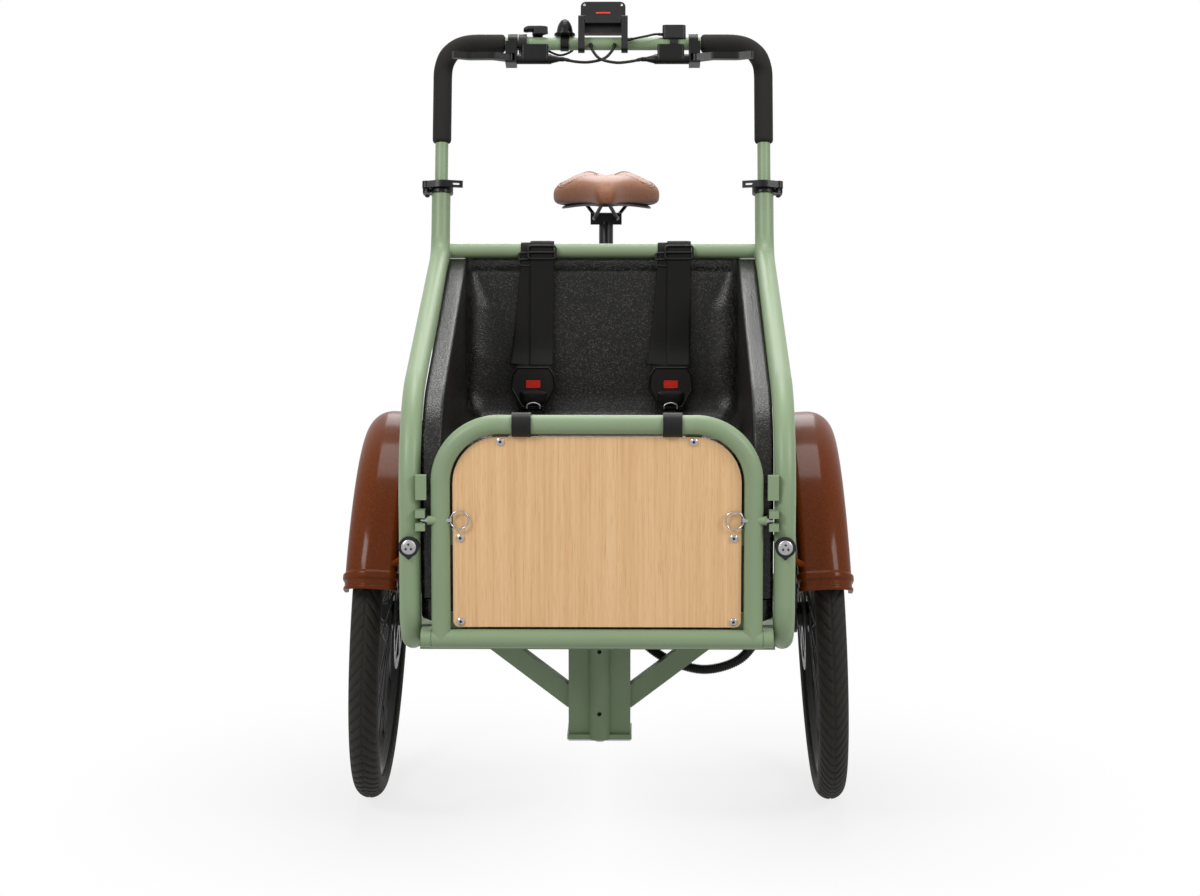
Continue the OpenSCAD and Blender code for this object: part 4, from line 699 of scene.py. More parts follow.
LOOKS: dict[str, Look] = {
    "sage_paint": PowderCoat("sage_powder_coat", paint(136, 156, 122)),
    "black_metal": MouldedPlastic(
        "satin_black_metal", paint(13, 12, 12), rough=0.34, grain_scale=1500.0, grain=0.00005, gloss=0.22
    ),
    "bare_steel": BrushedMetal("brushed_steel", paint(188, 188, 190)),
    "bright_chrome": BrushedMetal("bright_plating", paint(172, 172, 175), streak=(600.0, 600.0, 600.0), rough=0.14),
    "perforated_alu": BrushedMetal(
        "brushed_tread_sheet", paint(150, 149, 147), streak=(30.0, 900.0, 900.0), rough=0.36
    ),
    "oak_ply": OakPly("oiled_oak_ply", paint(238, 198, 150), dark=paint(220, 175, 125), pore=paint(177, 130, 86)),
    "brown_gloss": FlakeGloss(
        "flaked_brown_gloss", paint(103, 47, 13), dark=paint(74, 32, 8), light=paint(127, 64, 25)
    ),
    # The tub's fleck colour is painted glints on the pebble tops
    "tub_black": PebbledShell("pebbled_tub_shell", paint(7, 7, 6), fleck=paint(98, 95, 90)),
    "part_black": MouldedPlastic("grained_black_plastic", paint(20, 19, 19), rough=0.46),
    "key_grey": MouldedPlastic("grey_key_plastic", paint(128, 128, 130)),
    "signal_red": MouldedPlastic(
        "signal_red_plastic", paint(214, 44, 34), rough=0.32, grain_scale=1200.0, grain=0.00005
    ),
    "lens": SilveredLens("silvered_lens", paint(168, 168, 168), line=paint(92, 92, 94)),
    "foam": Rubber(
        "closed_cell_foam", paint(28, 27, 25), bloom=paint(42, 40, 37), pore_scale=1500.0, pore=0.00025, rough=0.8
    ),
    "hose_black": Rubber(
        "hose_rubber", paint(18, 17, 17), bloom=paint(30, 29, 28), pore_scale=1800.0, pore=0.00006, rough=0.5
    ),
    "tyre_black": Rubber("tyre_rubber", paint(33, 32, 29), bloom=paint(52, 50, 46), pore_scale=1100.0, rough=0.74),
    "strap_black": Webbing("harness_webbing", paint(15, 14, 14), thread=paint(38, 37, 36)),
    # The saddle's top colour is painted light; its edge colour is painted shade under the wrap and also the grain's
    # pores
    "saddle_leather": Leather(
        "saddle_hide", paint(132, 86, 62), painted_top_light=paint(166, 120, 94), edge=paint(50, 28, 17), wrap_z=0.93, top_z=0.972
    ),
}
SEAM_THREAD = Rubber(
    "waxed_thread", paint(44, 26, 17), bloom=paint(66, 42, 29), pore_scale=2200.0, pore=0.0001, rough=0.7
)
SCREEN_GLASS = MouldedPlastic("screen_glass", paint(14, 15, 17), rough=0.1, grain_scale=300.0, grain=0.00001)


class Finishes:
    """The finishes of the tricycle, one material for each slot of the record, and those of the small trim."""

    def __init__(self) -> None:
        """Builds every material once."""
        self.by_slot = {slot: look.material() for slot, look in LOOKS.items()}
        self.thread = SEAM_THREAD.material()
        self.glass = SCREEN_GLASS.material()

    def piece(
        self, name: str, patches: Sequence[Patch], body: Body, slot: str, stands_for: Sequence[str] = ()
    ) -> bpy.types.Object:
        """Makes a piece in its slot's own finish."""
        return make_piece(name, patches, self.by_slot[slot], body, stands_for)

    def dress_nodes(self, nodes: dict, subparts: Sequence[dict]) -> None:
        """Gives every CAD node the finish of its slot.

        Args:
            nodes: CAD objects by name.
            subparts: The record's list of nodes and their slots.
        """
        for part in subparts:
            mesh = nodes[part["node"]].data
            mesh.materials.clear()
            mesh.materials.append(self.by_slot[part["material_slot"]])
            log.info("%s: finish %s", part["node"], part["material_slot"])


class Side(float, Enum):
    """The rider's two sides, as the sign of X."""

    LEFT = 1.0
    RIGHT = -1.0


@dataclass
class Stage:
    """Camera, lamps, floor and backdrop of the studio."""

    lens_mm: float = 80.9
    camera_at: tuple[float, float, float] = (0.052, -4.85925, 1.106)
    pitch_down: float = 7.17
    yaw: float = 0.7
    floor_half: float = 30.0
    floor_z: float = -0.0005
    world_shed: float = 0.3
    contact: tuple[float, float] = (0.355, -0.567)
    # The floor's glow at the front wheels' contact points, and how far that painted shadow reaches
    painted_shadow_glow: float = 0.8
    painted_shadow_reach: float = 0.6

    def set_camera(self) -> None:
        """Places the camera at the photograph's viewing angle."""
        camera = bpy.data.cameras.new("studio_camera")
        camera.lens, camera.sensor_width, camera.sensor_fit = self.lens_mm, 36.0, "HORIZONTAL"
        seat = bpy.data.objects.new("studio_camera", camera)
        seat.location = self.camera_at
        seat.rotation_euler = (math.radians(90.0 - self.pitch_down), 0.0, math.radians(self.yaw))
        bpy.context.scene.collection.objects.link(seat)
        bpy.context.scene.camera = seat
        bpy.context.scene.view_settings.view_transform = "Standard"

    def lamp(self, name: str, at: Sequence[float], aim: Sequence[float], size: float, watts: float) -> None:
        """Hangs a square soft box that faces a point."""
        light = bpy.data.lights.new(name, "AREA")
        light.shape, light.size, light.energy = "SQUARE", size, watts
        holder = bpy.data.objects.new(name, light)
        holder.location = at
        way = np.asarray(aim, dtype=float) - np.asarray(at, dtype=float)
        tilt, swing = math.atan2(math.hypot(way[0], way[1]), -way[2]), math.atan2(way[1], way[0]) - math.pi / 2
        holder.rotation_euler = (tilt, 0.0, swing)
        bpy.context.scene.collection.objects.link(holder)

    def light(self) -> None:
        """Sets a white world, dimmer for the light that it sheds, and the soft boxes."""
        world = bpy.data.worlds.new("studio_white")
        bpy.context.scene.world = world
        sheet = NodeSheet("studio_white", world)
        seen = sheet.seen_by("Camera", "Glossy", "Transmission")
        level = self.world_shed + (1.0 - self.world_shed) * seen
        back = sheet.wire("ShaderNodeBackground", inputs={0: (1.0, 1.0, 1.0, 1.0), 1: level})
        sheet.node("ShaderNodeOutputWorld", inputs={0: back})
        middle = (0.0, 0.0, 0.6)
        self.lamp("key_box", (-2.6, -3.2, 3.2), middle, 1.3, 96.0)
        self.lamp("fill_box", (3.0, -2.6, 2.6), middle, 1.3, 70.0)
        self.lamp("top_box", (0.0, 0.4, 4.2), middle, 2.0, 92.0)
        self.lamp("back_box", (0.0, 3.6, 2.6), middle, 2.0, 50.0)

    def lay_floor(self) -> None:
        """Lays a white floor that glows to the camera, keeps the cast shadows, and has a painted shadow round the
        front wheels' contact points.
        """
        sheet = NodeSheet("studio_floor")
        colour = sheet.blend(sheet.noise(0.7, 2.0), (0.5, 0.5, 0.5), (0.54, 0.54, 0.54))
        matt = sheet.wire("ShaderNodeBsdfDiffuse", inputs={0: colour})
        glow = sheet.wire("ShaderNodeEmission", inputs={0: (1.0, 1.0, 1.0, 1.0), 1: 1.0})
        x, y, _ = sheet.axes()
        # Painted shadow: the floor's glow dips near the front wheels' contact points, so the floor looks darker round
        # them
        side, ahead = abs(x) - self.contact[0], y - self.contact[1]
        away = (side * side + ahead * ahead * 0.5) ** 0.5
        glow_under_painted_shadow = self.painted_shadow_glow + (1.0 - self.painted_shadow_glow) * away.step(0.0, self.painted_shadow_reach)
        share = sheet.seen_by("Camera", "Glossy") * glow_under_painted_shadow
        mixed = sheet.wire("ShaderNodeMixShader", inputs={0: share, 1: matt, 2: glow})
        sheet.node("ShaderNodeOutputMaterial", inputs={0: mixed})
        span = np.linspace(-self.floor_half, self.floor_half, 3)
        across, along_y = np.meshgrid(span, span)
        grid = Patch(np.stack([across, along_y, np.full_like(across, self.floor_z)], axis=2))
        mesh = bpy.data.meshes.new("studio_floor")
        mesh.from_pydata(grid.points.reshape(-1, 3).tolist(), [], grid.quads()[0].tolist())
        mesh.materials.append(sheet.owner)
        floor = bpy.data.objects.new("studio_floor", mesh)
        bpy.context.scene.collection.objects.link(floor)


@dataclass
class Handlebar:
    """Foam sleeves, hoses and trim on the height-adjusted bar; sizes are the drawing's millimetres."""

    lean: float = math.radians(16.5)
    foot_y: float = 290.0
    foot_z: float = 862.0
    rise: float = 370.0
    half_width: float = 275.0
    corner_r: float = 60.0
    bar_r: float = 11.1
    sleeve_r: float = 16.0
    sleeve_inner_x: float = 168.0
    sleeve_low: float = 193.0
    sleeve_round: float = 7.0
    hose_d: float = 5.0
    wire_d: float = 4.0
    collar: float = 9.0

    def on_bar(self, points: Array | Sequence) -> Array:
        """Bar places, with z along the leaning uprights from the top bar, turned into the row's frame.

        Args:
            points: Points (..., 3) in the bar's own millimetres.

        Returns:
            Points in metres.
        """
        points = np.asarray(points, dtype=float)
        y, z = points[..., 1], points[..., 2] + self.rise
        tilted_y = self.foot_y + math.cos(self.lean) * y + math.sin(self.lean) * z
        tilted_z = self.foot_z - math.sin(self.lean) * y + math.cos(self.lean) * z
        return row(np.stack([points[..., 0], tilted_y, tilted_z], axis=-1))

    def sleeve(self, side: Side) -> Patch:
        """One foam sleeve: a ring round the bar's bent line, its radius eased down to the bar at both ends.

        Args:
            side: Which side of the bar.

        Returns:
            The sleeve's surface.
        """
        drop = self.sleeve_low - self.rise
        corners = [[self.sleeve_inner_x, 0.0], [self.half_width, 0.0], [self.half_width, drop]]
        line = filleted(corners, [0.0, self.corner_r, 0.0], 120)
        run = along(line)
        near_end = np.minimum(np.minimum(run, run[-1] - run), self.sleeve_round) / self.sleeve_round
        swell = 0.18 * np.sin(run / 5.2) * np.exp(-(((run - run[-1] * 0.42) / 34.0) ** 2))
        radius = self.bar_r + (self.sleeve_r - self.bar_r) * np.sqrt(1.0 - (1.0 - near_end) ** 2) + swell
        path = np.stack([side.value * line[:, 0], np.zeros(len(line)), line[:, 1]], axis=1)
        skin = carried(path, ring(40, radius), (0.0, 1.0, 0.0))
        return Patch.rod(self.on_bar(skin))

    def build_cord(self, name: str, knots: Sequence, diameter: float, finishes: Finishes) -> None:
        """Args:
            name: Piece name.
            knots: Points that it passes, in the bar's millimetres.
            diameter: Its thickness in millimetres.
            finishes: The tricycle's finishes.
        """
        line = spline(knots, 72)
        run = along(line)
        end = np.minimum(run, run[-1] - run)
        radius = diameter / 2 * (1.0 + 0.3 * np.clip((self.collar - end) / 1.5, 0.0, 1.0))
        path = self.on_bar(line)
        skin = carried(path, ring(20, radius / 1000.0), (0.13, 0.8, 0.58))
        tube = Patch.rod(skin)
        piece = finishes.piece(name, [tube], Body.BAR, "hose_black", ["handlebar_cables"])

    def build_cords(self, finishes: Finishes) -> None:
        """Runs the two brake hoses and the two wires in the crossing bows that the levers give them."""
        runs = {
            "brake_hose_right": (self.hose_d, [
                [-65.7, -27, -36], [-48, -30, -41], [-24, -33, -43], [2, -31, -36], [16, -22, -19], [20, -11.6, -5],
            ]),
            "brake_hose_left": (self.hose_d, [
                [65.7, -27, -36], [46, -36, -43], [22, -40, -46], [-4, -38, -39], [-17, -26, -21], [-21, -11.6, -5],
            ]),
            "shifter_wire": (self.wire_d, [
                [-99.7, 16, -4], [-88, 19, -10], [-74, 20, -14], [-58, 17, -10], [-50, 11.6, -3],
            ]),
            "remote_wire": (self.wire_d, [
                [101.7, -8, 14], [90, -16, 12], [74, -24, 6], [58, -26, 2], [42.8, -22, 0],
            ]),
        }
        for name, (diameter, knots) in runs.items():
            self.build_cord(name, knots, diameter, finishes)

    def build_sleeves(self, finishes: Finishes) -> None:
        """Slides the two foam sleeves round the bar's corners."""
        finishes.piece("foam_sleeves", [self.sleeve(side) for side in Side], Body.BAR, "foam", ["foam_grips"])

    def build_display_trim(self, finishes: Finishes) -> None:
        """Sets two screws and a red lamp strip into the display's front, and a glass over its rider's side."""
        dome = np.array([[0.0, 2.6], [0.6, 2.5], [1.1, 1.7], [1.2, 0.9], [0.7, 0.7], [0.7, 0.01]]) / 1000.0
        way = self.on_bar([0, -1, 0]) - self.on_bar([0, 0, 0])
        spots = [self.on_bar([x, -11.9, 65.0]) for x in (-32.0, 32.0)]
        screws = [Patch.rod(turned(dome, spot, way, 24)) for spot in spots]
        finishes.piece("display_screws", screws, Body.DISPLAY, "bright_chrome")
        strip = self.plate(25.0, 3.2, 1.0, (0.0, -11.8, 51.0), -1.0)
        finishes.piece("display_lamp", [strip], Body.DISPLAY, "signal_red")
        glass = self.plate(64.0, 44.0, 0.8, (0.0, 5.8, 44.0), 1.0)
        make_piece("display_glass", [glass], finishes.glass, Body.DISPLAY)

    def build_paddle(self, finishes: Finishes) -> None:
        """Caps the gear lever with a thumb paddle: blunt ellipses along x, rounded and drooping at the outer end."""
        t = (-np.cos(np.linspace(0.0, np.pi, 41)))[:, None]
        a = angles(32)[None, :]
        end = np.clip(1.0 - np.abs(t) ** 6, 1e-4, 1.0) ** 0.4
        y = -5.0 + 9.0 * end * blunt(np.cos(a), 0.6)
        z = 25.0 - 2.5 * np.clip((-t - 0.4) / 0.6, 0, 1) ** 2 + 4.6 * end * blunt(np.sin(a), 0.6)
        points = np.stack([-116.0 + 21.0 * t + 0.0 * a, y, z], axis=2)
        skin = Patch.rod(self.on_bar(points))
        finishes.piece("thumb_paddle", [skin], Body.SHIFTER, "part_black")

    def plate(self, wide: float, tall: float, thick: float, at: Sequence[float], facing: float) -> Patch:
        """A thin plate with rounded corners on the bar's frame: shrinking rings of one superellipse outline.

        Args:
            wide: Size along x in millimetres.
            tall: Size along z in millimetres.
            thick: Height of its face above its back.
            at: Middle of its back, in the bar's millimetres.
            facing: Sign of y that it faces.

        Returns:
            The plate's surface.
        """
        a = angles(48)
        x = blunt(np.cos(a), 0.3) * wide / 2
        z = blunt(np.sin(a), 0.3) * tall / 2
        share = np.array([1.0, 1.0, 0.97, 0.5, 0.001])[:, None]
        lift = facing * np.array([0.0, thick * 0.6, thick, thick, thick])[:, None]
        points = np.stack([at[0] + share * x, at[1] + lift + 0.0 * x, at[2] + share * z], axis=2)
        return Patch.rod(self.on_bar(points))


@dataclass
class Wheels:
    """Tyres with a moulded herringbone tread; sizes are the drawing's millimetres."""

    half_track: float = 354.0
    front_r: float = 298.0
    front_z: float = 297.62
    camber: float = math.radians(3.0)
    rear_r: float = 325.0
    wheelbase: float = 1200.0
    section_r: float = 23.0
    bead_drop: float = 12.0
    tread: float = 2.0
    lugs: int = 92

    def tyre(self, radius: float, hub: Sequence[float], axis: Sequence[float]) -> list[Patch]:
        """A tyre: a circle's arc from bead to bead carried round the axle, less slanting grooves on the crown.

        The groove at turn a and section angle p is a smooth step of sin(lugs * a + 9 |p|), mirrored about the middle
        line, faded out past the shoulders; a fine ring marks each sidewall.

        Args:
            radius: Outer radius.
            hub: Middle of the wheel.
            axis: Direction of its axle.

        Returns:
            The outside and the bead seat.
        """
        turn = angles(self.lugs * 16)[:, None]
        bead = math.pi - math.acos(self.bead_drop / self.section_r)
        arc = np.linspace(-bead, bead, 45)[None, :]
        wave = np.sin(self.lugs * turn + 9.0 * np.abs(arc))
        block = np.clip((wave + 0.9) / 0.35, 0.0, 1.0)
        block = block * block * (3 - 2 * block)
        crown = np.clip((1.15 - np.abs(arc)) / 0.2, 0.0, 1.0)
        middle = np.clip((np.abs(arc) - 0.03) / 0.05, 0.0, 1.0)
        depth = self.tread * crown * (1.0 - block * middle)
        ridge = 0.35 * np.exp(-(((np.abs(arc) - 1.62) / 0.035) ** 2))
        section = self.section_r - 0.05 - depth + ridge * (1.0 - crown)
        out, run = radius - self.section_r + section * np.cos(arc), section * np.sin(arc) + 0.0 * turn
        axis = unit(np.asarray(axis, dtype=float))
        cross = unit(np.cross(axis, [0.0, 0.0, 1.0]))
        spoke = np.cos(turn)[..., None] * cross + np.sin(turn)[..., None] * np.cross(axis, cross)
        skin = np.asarray(hub, dtype=float) + out[..., None] * spoke + run[..., None] * axis
        seat = np.stack([skin[:, 0], skin[:, -1]], axis=1)
        return [Patch(row(skin), closed_u=True), Patch(row(seat), closed_u=True)]

    def build(self, finishes: Finishes) -> None:
        """Builds the three tyres on their wheels."""
        lean = (math.cos(self.camber), 0.0, math.sin(self.camber))
        for side, body, name in (
            (Side.LEFT, Body.WHEEL_LEFT, "front_tyre_left"), (Side.RIGHT, Body.WHEEL_RIGHT, "front_tyre_right")
        ):
            hub = (side.value * self.half_track, 0.0, self.front_z)
            axis = (side.value * lean[0], 0.0, lean[2])
            finishes.piece("herringbone_" + name, self.tyre(self.front_r, hub, axis), body, "tyre_black", [name])
        tread = self.tyre(self.rear_r, (0.0, self.wheelbase, self.rear_r), (1.0, 0.0, 0.0))
        finishes.piece("herringbone_rear_tyre", tread, Body.WHEEL_REAR, "tyre_black", ["rear_tyre"])


@dataclass
class FenderSkin:
    """Smooth lacquered skin on a fender, with ridges near its front end; sizes are the drawing's millimetres.

    Fields:
        hub: Middle of the wheel.
        crown_r: Radius of the fender's top about the hub.
        edges: Run of its inner and its outer side along the axle.
        bends: Radius of its inner and its outer bend.
        drops: How far each skirt reaches below the crown.
        span: Where it starts and ends, in degrees from straight down, up the rear and over.
        camber: Lean of the wheel.
        ridges: Degrees, half-width in degrees and height of each ridge.
        fine_from: Degrees from which the steps are finer.
        lift, depth: How far the skin's outside lies above the solid, and its inside below.
    """

    name: str
    body: Body
    hub: tuple[float, float, float]
    crown_r: float
    edges: tuple[float, float]
    bends: tuple[float, float]
    drops: tuple[float, float]
    span: tuple[float, float]
    camber: float = 0.0
    ridges: tuple[tuple[float, float, float], ...] = ()
    fine_from: float = 246.0
    lift: float = 0.5
    depth: float = 1.2

    def line(self) -> tuple[Array, Array]:
        """The fender's outline across the wheel: skirt, bend, crown, bend and skirt.

        Returns:
            Points (m, 2) of (radius, run along the axle), and the outward unit normal at each.
        """
        inner, outer = self.bends
        low, high = self.edges
        a, b = np.linspace(-np.pi / 2, 0.0, 12), np.linspace(0.0, np.pi / 2, 20)
        bend_in = np.stack([self.crown_r - inner + inner * np.cos(a), low + inner + inner * np.sin(a)], axis=1)
        bend_out = np.stack([self.crown_r - outer + outer * np.cos(b), high - outer + outer * np.sin(b)], axis=1)
        skirt_in = np.linspace([self.crown_r - self.drops[0], low], bend_in[0], 5)[:-1]
        skirt_out = np.linspace(bend_out[-1], [self.crown_r - self.drops[1], high], 6)[1:]
        crown = np.linspace(bend_in[-1], bend_out[0], 6)[1:-1]
        angle = np.concatenate([np.full(4, a[0]), a, np.zeros(4), b, np.full(5, b[-1])])
        points = np.concatenate([skirt_in, bend_in, crown, bend_out, skirt_out])
        return points, np.stack([np.cos(angle), np.sin(angle)], axis=1)

    def skin(self, side: Side) -> Patch:
        """The outline, grown along its normal by lift + ridge heights, carried round the axle at each turn.

        A ridge at turn c adds height * exp(-((turn - c) / width)^6). The inside is the outline, shrunk by the depth.

        Args:
            side: Which side the wheel is on.

        Returns:
            The closed skin.
        """
        coarse = np.linspace(self.span[0], self.fine_from, 170)
        fine = np.linspace(self.fine_from + 0.1, self.span[1], 76)
        turn = np.append(coarse, fine)[:, None]
        grow = self.lift + 0.0 * turn
        for at, wide, tall in self.ridges:
            grow = grow + tall * np.exp(-(((turn - at) / wide) ** 6))
        points, normal = self.line()
        out = points + grow[..., None] * normal
        back = np.broadcast_to(points - self.depth * normal, out.shape)
        loop = np.concatenate([out, back[:, ::-1]], axis=1)
        angle = np.radians(turn)
        fall, y = loop[..., 0] * np.cos(angle), self.hub[1] + loop[..., 0] * np.sin(angle)
        lean = np.pi / 2 - self.camber
        x = self.hub[0] + fall * np.cos(lean) + loop[..., 1] * np.sin(lean)
        z = self.hub[2] - fall * np.sin(lean) + loop[..., 1] * np.cos(lean)
        return Patch.rod(row(np.stack([side.value * x, y, z], axis=2)))

    def build(self, finishes: Finishes) -> None:
        """Lays the skin, and its mirror image where the hub is off the middle."""
        sides = list(Side) if self.hub[0] else [Side.LEFT]
        finishes.piece(self.name, [self.skin(side) for side in sides], self.body, "brown_gloss")


@dataclass
class ChildTub:
    """Pebbled tub with floor, bench, backrest and rolled rim; sizes are the drawing's millimetres."""

    front_y: float = -377.0
    floor_z: float = 402.539
    floor_rise: float = math.radians(8.5)
    bench_foot_y: float = 46.0
    bench_y: float = 60.0
    bench_z: float = 580.0
    back_y: float = 262.0
    back_top: tuple[float, float] = (288.3, 830.0)
    ledge: tuple[float, float] = (308.4, 850.4)
    lip: tuple[float, float] = (311.5, 859.0)
    half: float = 229.0
    rim_x: float = 258.8
    rim_r: float = 6.0
    floor_fillet: float = 34.0
    back_fillet: float = 54.0
    wall: float = 5.0
    rim_front_z: float = 659.691
    rim_rear: tuple[float, float] = (282.0, 853.6)
    rim_bend_r: float = 170.0
    rows: int = 260

    def on_floor(self, y: float) -> tuple[float, float]:
        """The floor's height at a place along the tub."""
        return y, self.floor_z + y * math.tan(self.floor_rise)

    def lines(self) -> tuple[Array, Array]:
        """The middle line and the rim line in the side plane, matched row by row.

        Returns:
            Two arrays (rows, 2) of (y, z); a rim point is at the share of its line that a short table gives.
        """
        low = filleted(
            [
                self.on_floor(self.front_y), self.on_floor(self.bench_foot_y), (self.bench_y, self.bench_z),
                (self.back_y, self.bench_z), self.back_top, self.ledge, self.lip,
            ],
            [0, 36, 28, 50, 10, 5, 0], self.rows,
        )
        start = (self.front_y, self.on_floor(self.front_y)[1] + self.floor_fillet + self.rim_r + 2)
        rim = filleted([start, (self.front_y, self.rim_front_z), self.rim_rear], [0, self.rim_bend_r, 0], 600)
        share = np.interp(np.linspace(0, 1, self.rows), [0, 0.39, 0.55, 0.735, 1], [0, 0.395, 0.585, 0.82, 1])
        run = along(rim)
        high = np.stack([np.interp(share * run[-1], run, rim[:, k]) for k in range(2)], axis=1)
        return low, high

    def skin(self, low: Array, high: Array, half: float) -> Array:
        """The tub's section at each row, mirrored: floor, fillet, wall, rolled rim and flat rim.

        A section point (x, h) becomes (x, low + h * the way from low to high). The fillet's radius grows from the
        floor's to the backrest's as the row climbs the back.

        Args:
            low: Middle line (n, 2).
            high: Rim line (n, 2).
            half: Half the inside width.

        Returns:
            Grid (n, m, 3) in millimetres.
        """
        rise = np.linalg.norm(high - low, axis=1)
        up = (high - low) / rise[:, None]
        climb = np.clip((low[:, 1] - self.bench_z - 20) / 80, 0, 1)
        climb = climb * np.clip((self.back_top[1] - low[:, 1]) / 20, 0, 1)
        fillet = np.minimum(self.floor_fillet + (self.back_fillet - self.floor_fillet) * climb, rise * 0.6)[:, None]
        turn = np.linspace(0, np.pi / 2, 12)[None, :]
        flat_x = np.linspace(0, 1, 10)[None, :-1] * (half - fillet)
        bend_x, bend_h = half - fillet + fillet * np.sin(turn), fillet - fillet * np.cos(turn)
        climb_h = fillet + np.linspace(0, 1, 14)[None, 1:-1] * (rise[:, None] - self.rim_r - fillet)
        roll_x = half + self.rim_r - self.rim_r * np.cos(turn) + 0 * fillet
        roll_h = rise[:, None] - self.rim_r + self.rim_r * np.sin(turn)
        edge_x = half + self.rim_r + np.linspace(0, 1, 5)[None, 1:] * (self.rim_x - half - self.rim_r) + 0 * fillet
        x = np.hstack([flat_x, bend_x, half + 0 * climb_h, roll_x, edge_x])
        h = np.hstack([0 * flat_x, bend_h, climb_h, roll_h, rise[:, None] + 0 * edge_x])
        x, h = np.hstack([-x[:, :0:-1], x]), np.hstack([h[:, :0:-1], h])
        y = low[:, None, 0] + h * up[:, None, 0]
        z = low[:, None, 1] + h * up[:, None, 1]
        return np.stack([x, y, z], axis=2)

    def pushed(self, line: Array) -> Array:
        """A side-plane line moved outwards by the wall: line + wall * (way's z, -way's y)."""
        return line + self.wall * unit(np.gradient(line, axis=0))[:, ::-1] * [1.0, -1.0]

    def gusset(self, side: Side) -> Patch:
        """The front flange's foot: fills the corner between the floor's fillet and the rail, one wall thick."""
        floor = self.on_floor(self.front_y)[1]
        turn = np.linspace(0.0, np.pi / 2, 14)
        fillet = 0.6 * (self.floor_fillet + self.rim_r + 2)
        inner_x = np.append(self.half - fillet + fillet * np.sin(turn), [self.half, self.half])
        rail_z = floor + self.floor_fillet + self.rim_r + 4
        inner_z = np.append(floor + fillet - fillet * np.cos(turn), [floor + 36.0, rail_z])
        outer_x = np.minimum(self.rim_x, inner_x + np.linspace(0.0, 90.0, len(inner_x)))
        outer_z = np.linspace(floor - 5.0, inner_z[-1], len(inner_x))
        x = side.value * np.stack([inner_x, outer_x, outer_x, inner_x], axis=1)
        z = np.stack([inner_z, outer_z, outer_z, inner_z], axis=1)
        y = np.broadcast_to(self.front_y + self.wall * np.array([0.0, 0.0, 1.0, 1.0]), x.shape)
        return Patch.rod(row(np.stack([x, y, z], axis=2)))

    def build(self, finishes: Finishes) -> None:
        """Closes the inner and the outer skin into one shell."""
        low, high = self.lines()
        inner = self.skin(low, high, self.half)
        outer = self.skin(self.pushed(low), self.pushed(high), self.half + self.wall)
        around = np.concatenate([inner, outer[:, ::-1]], axis=1)
        ends = [Patch(row(np.stack([inner[k], outer[k]]))) for k in (0, -1)]
        shell = [Patch(row(around), closed_v=True), *ends, *map(self.gusset, Side)]
        finishes.piece("pebbled_tub", shell, Body.FRONT, "tub_black", ["tub"])


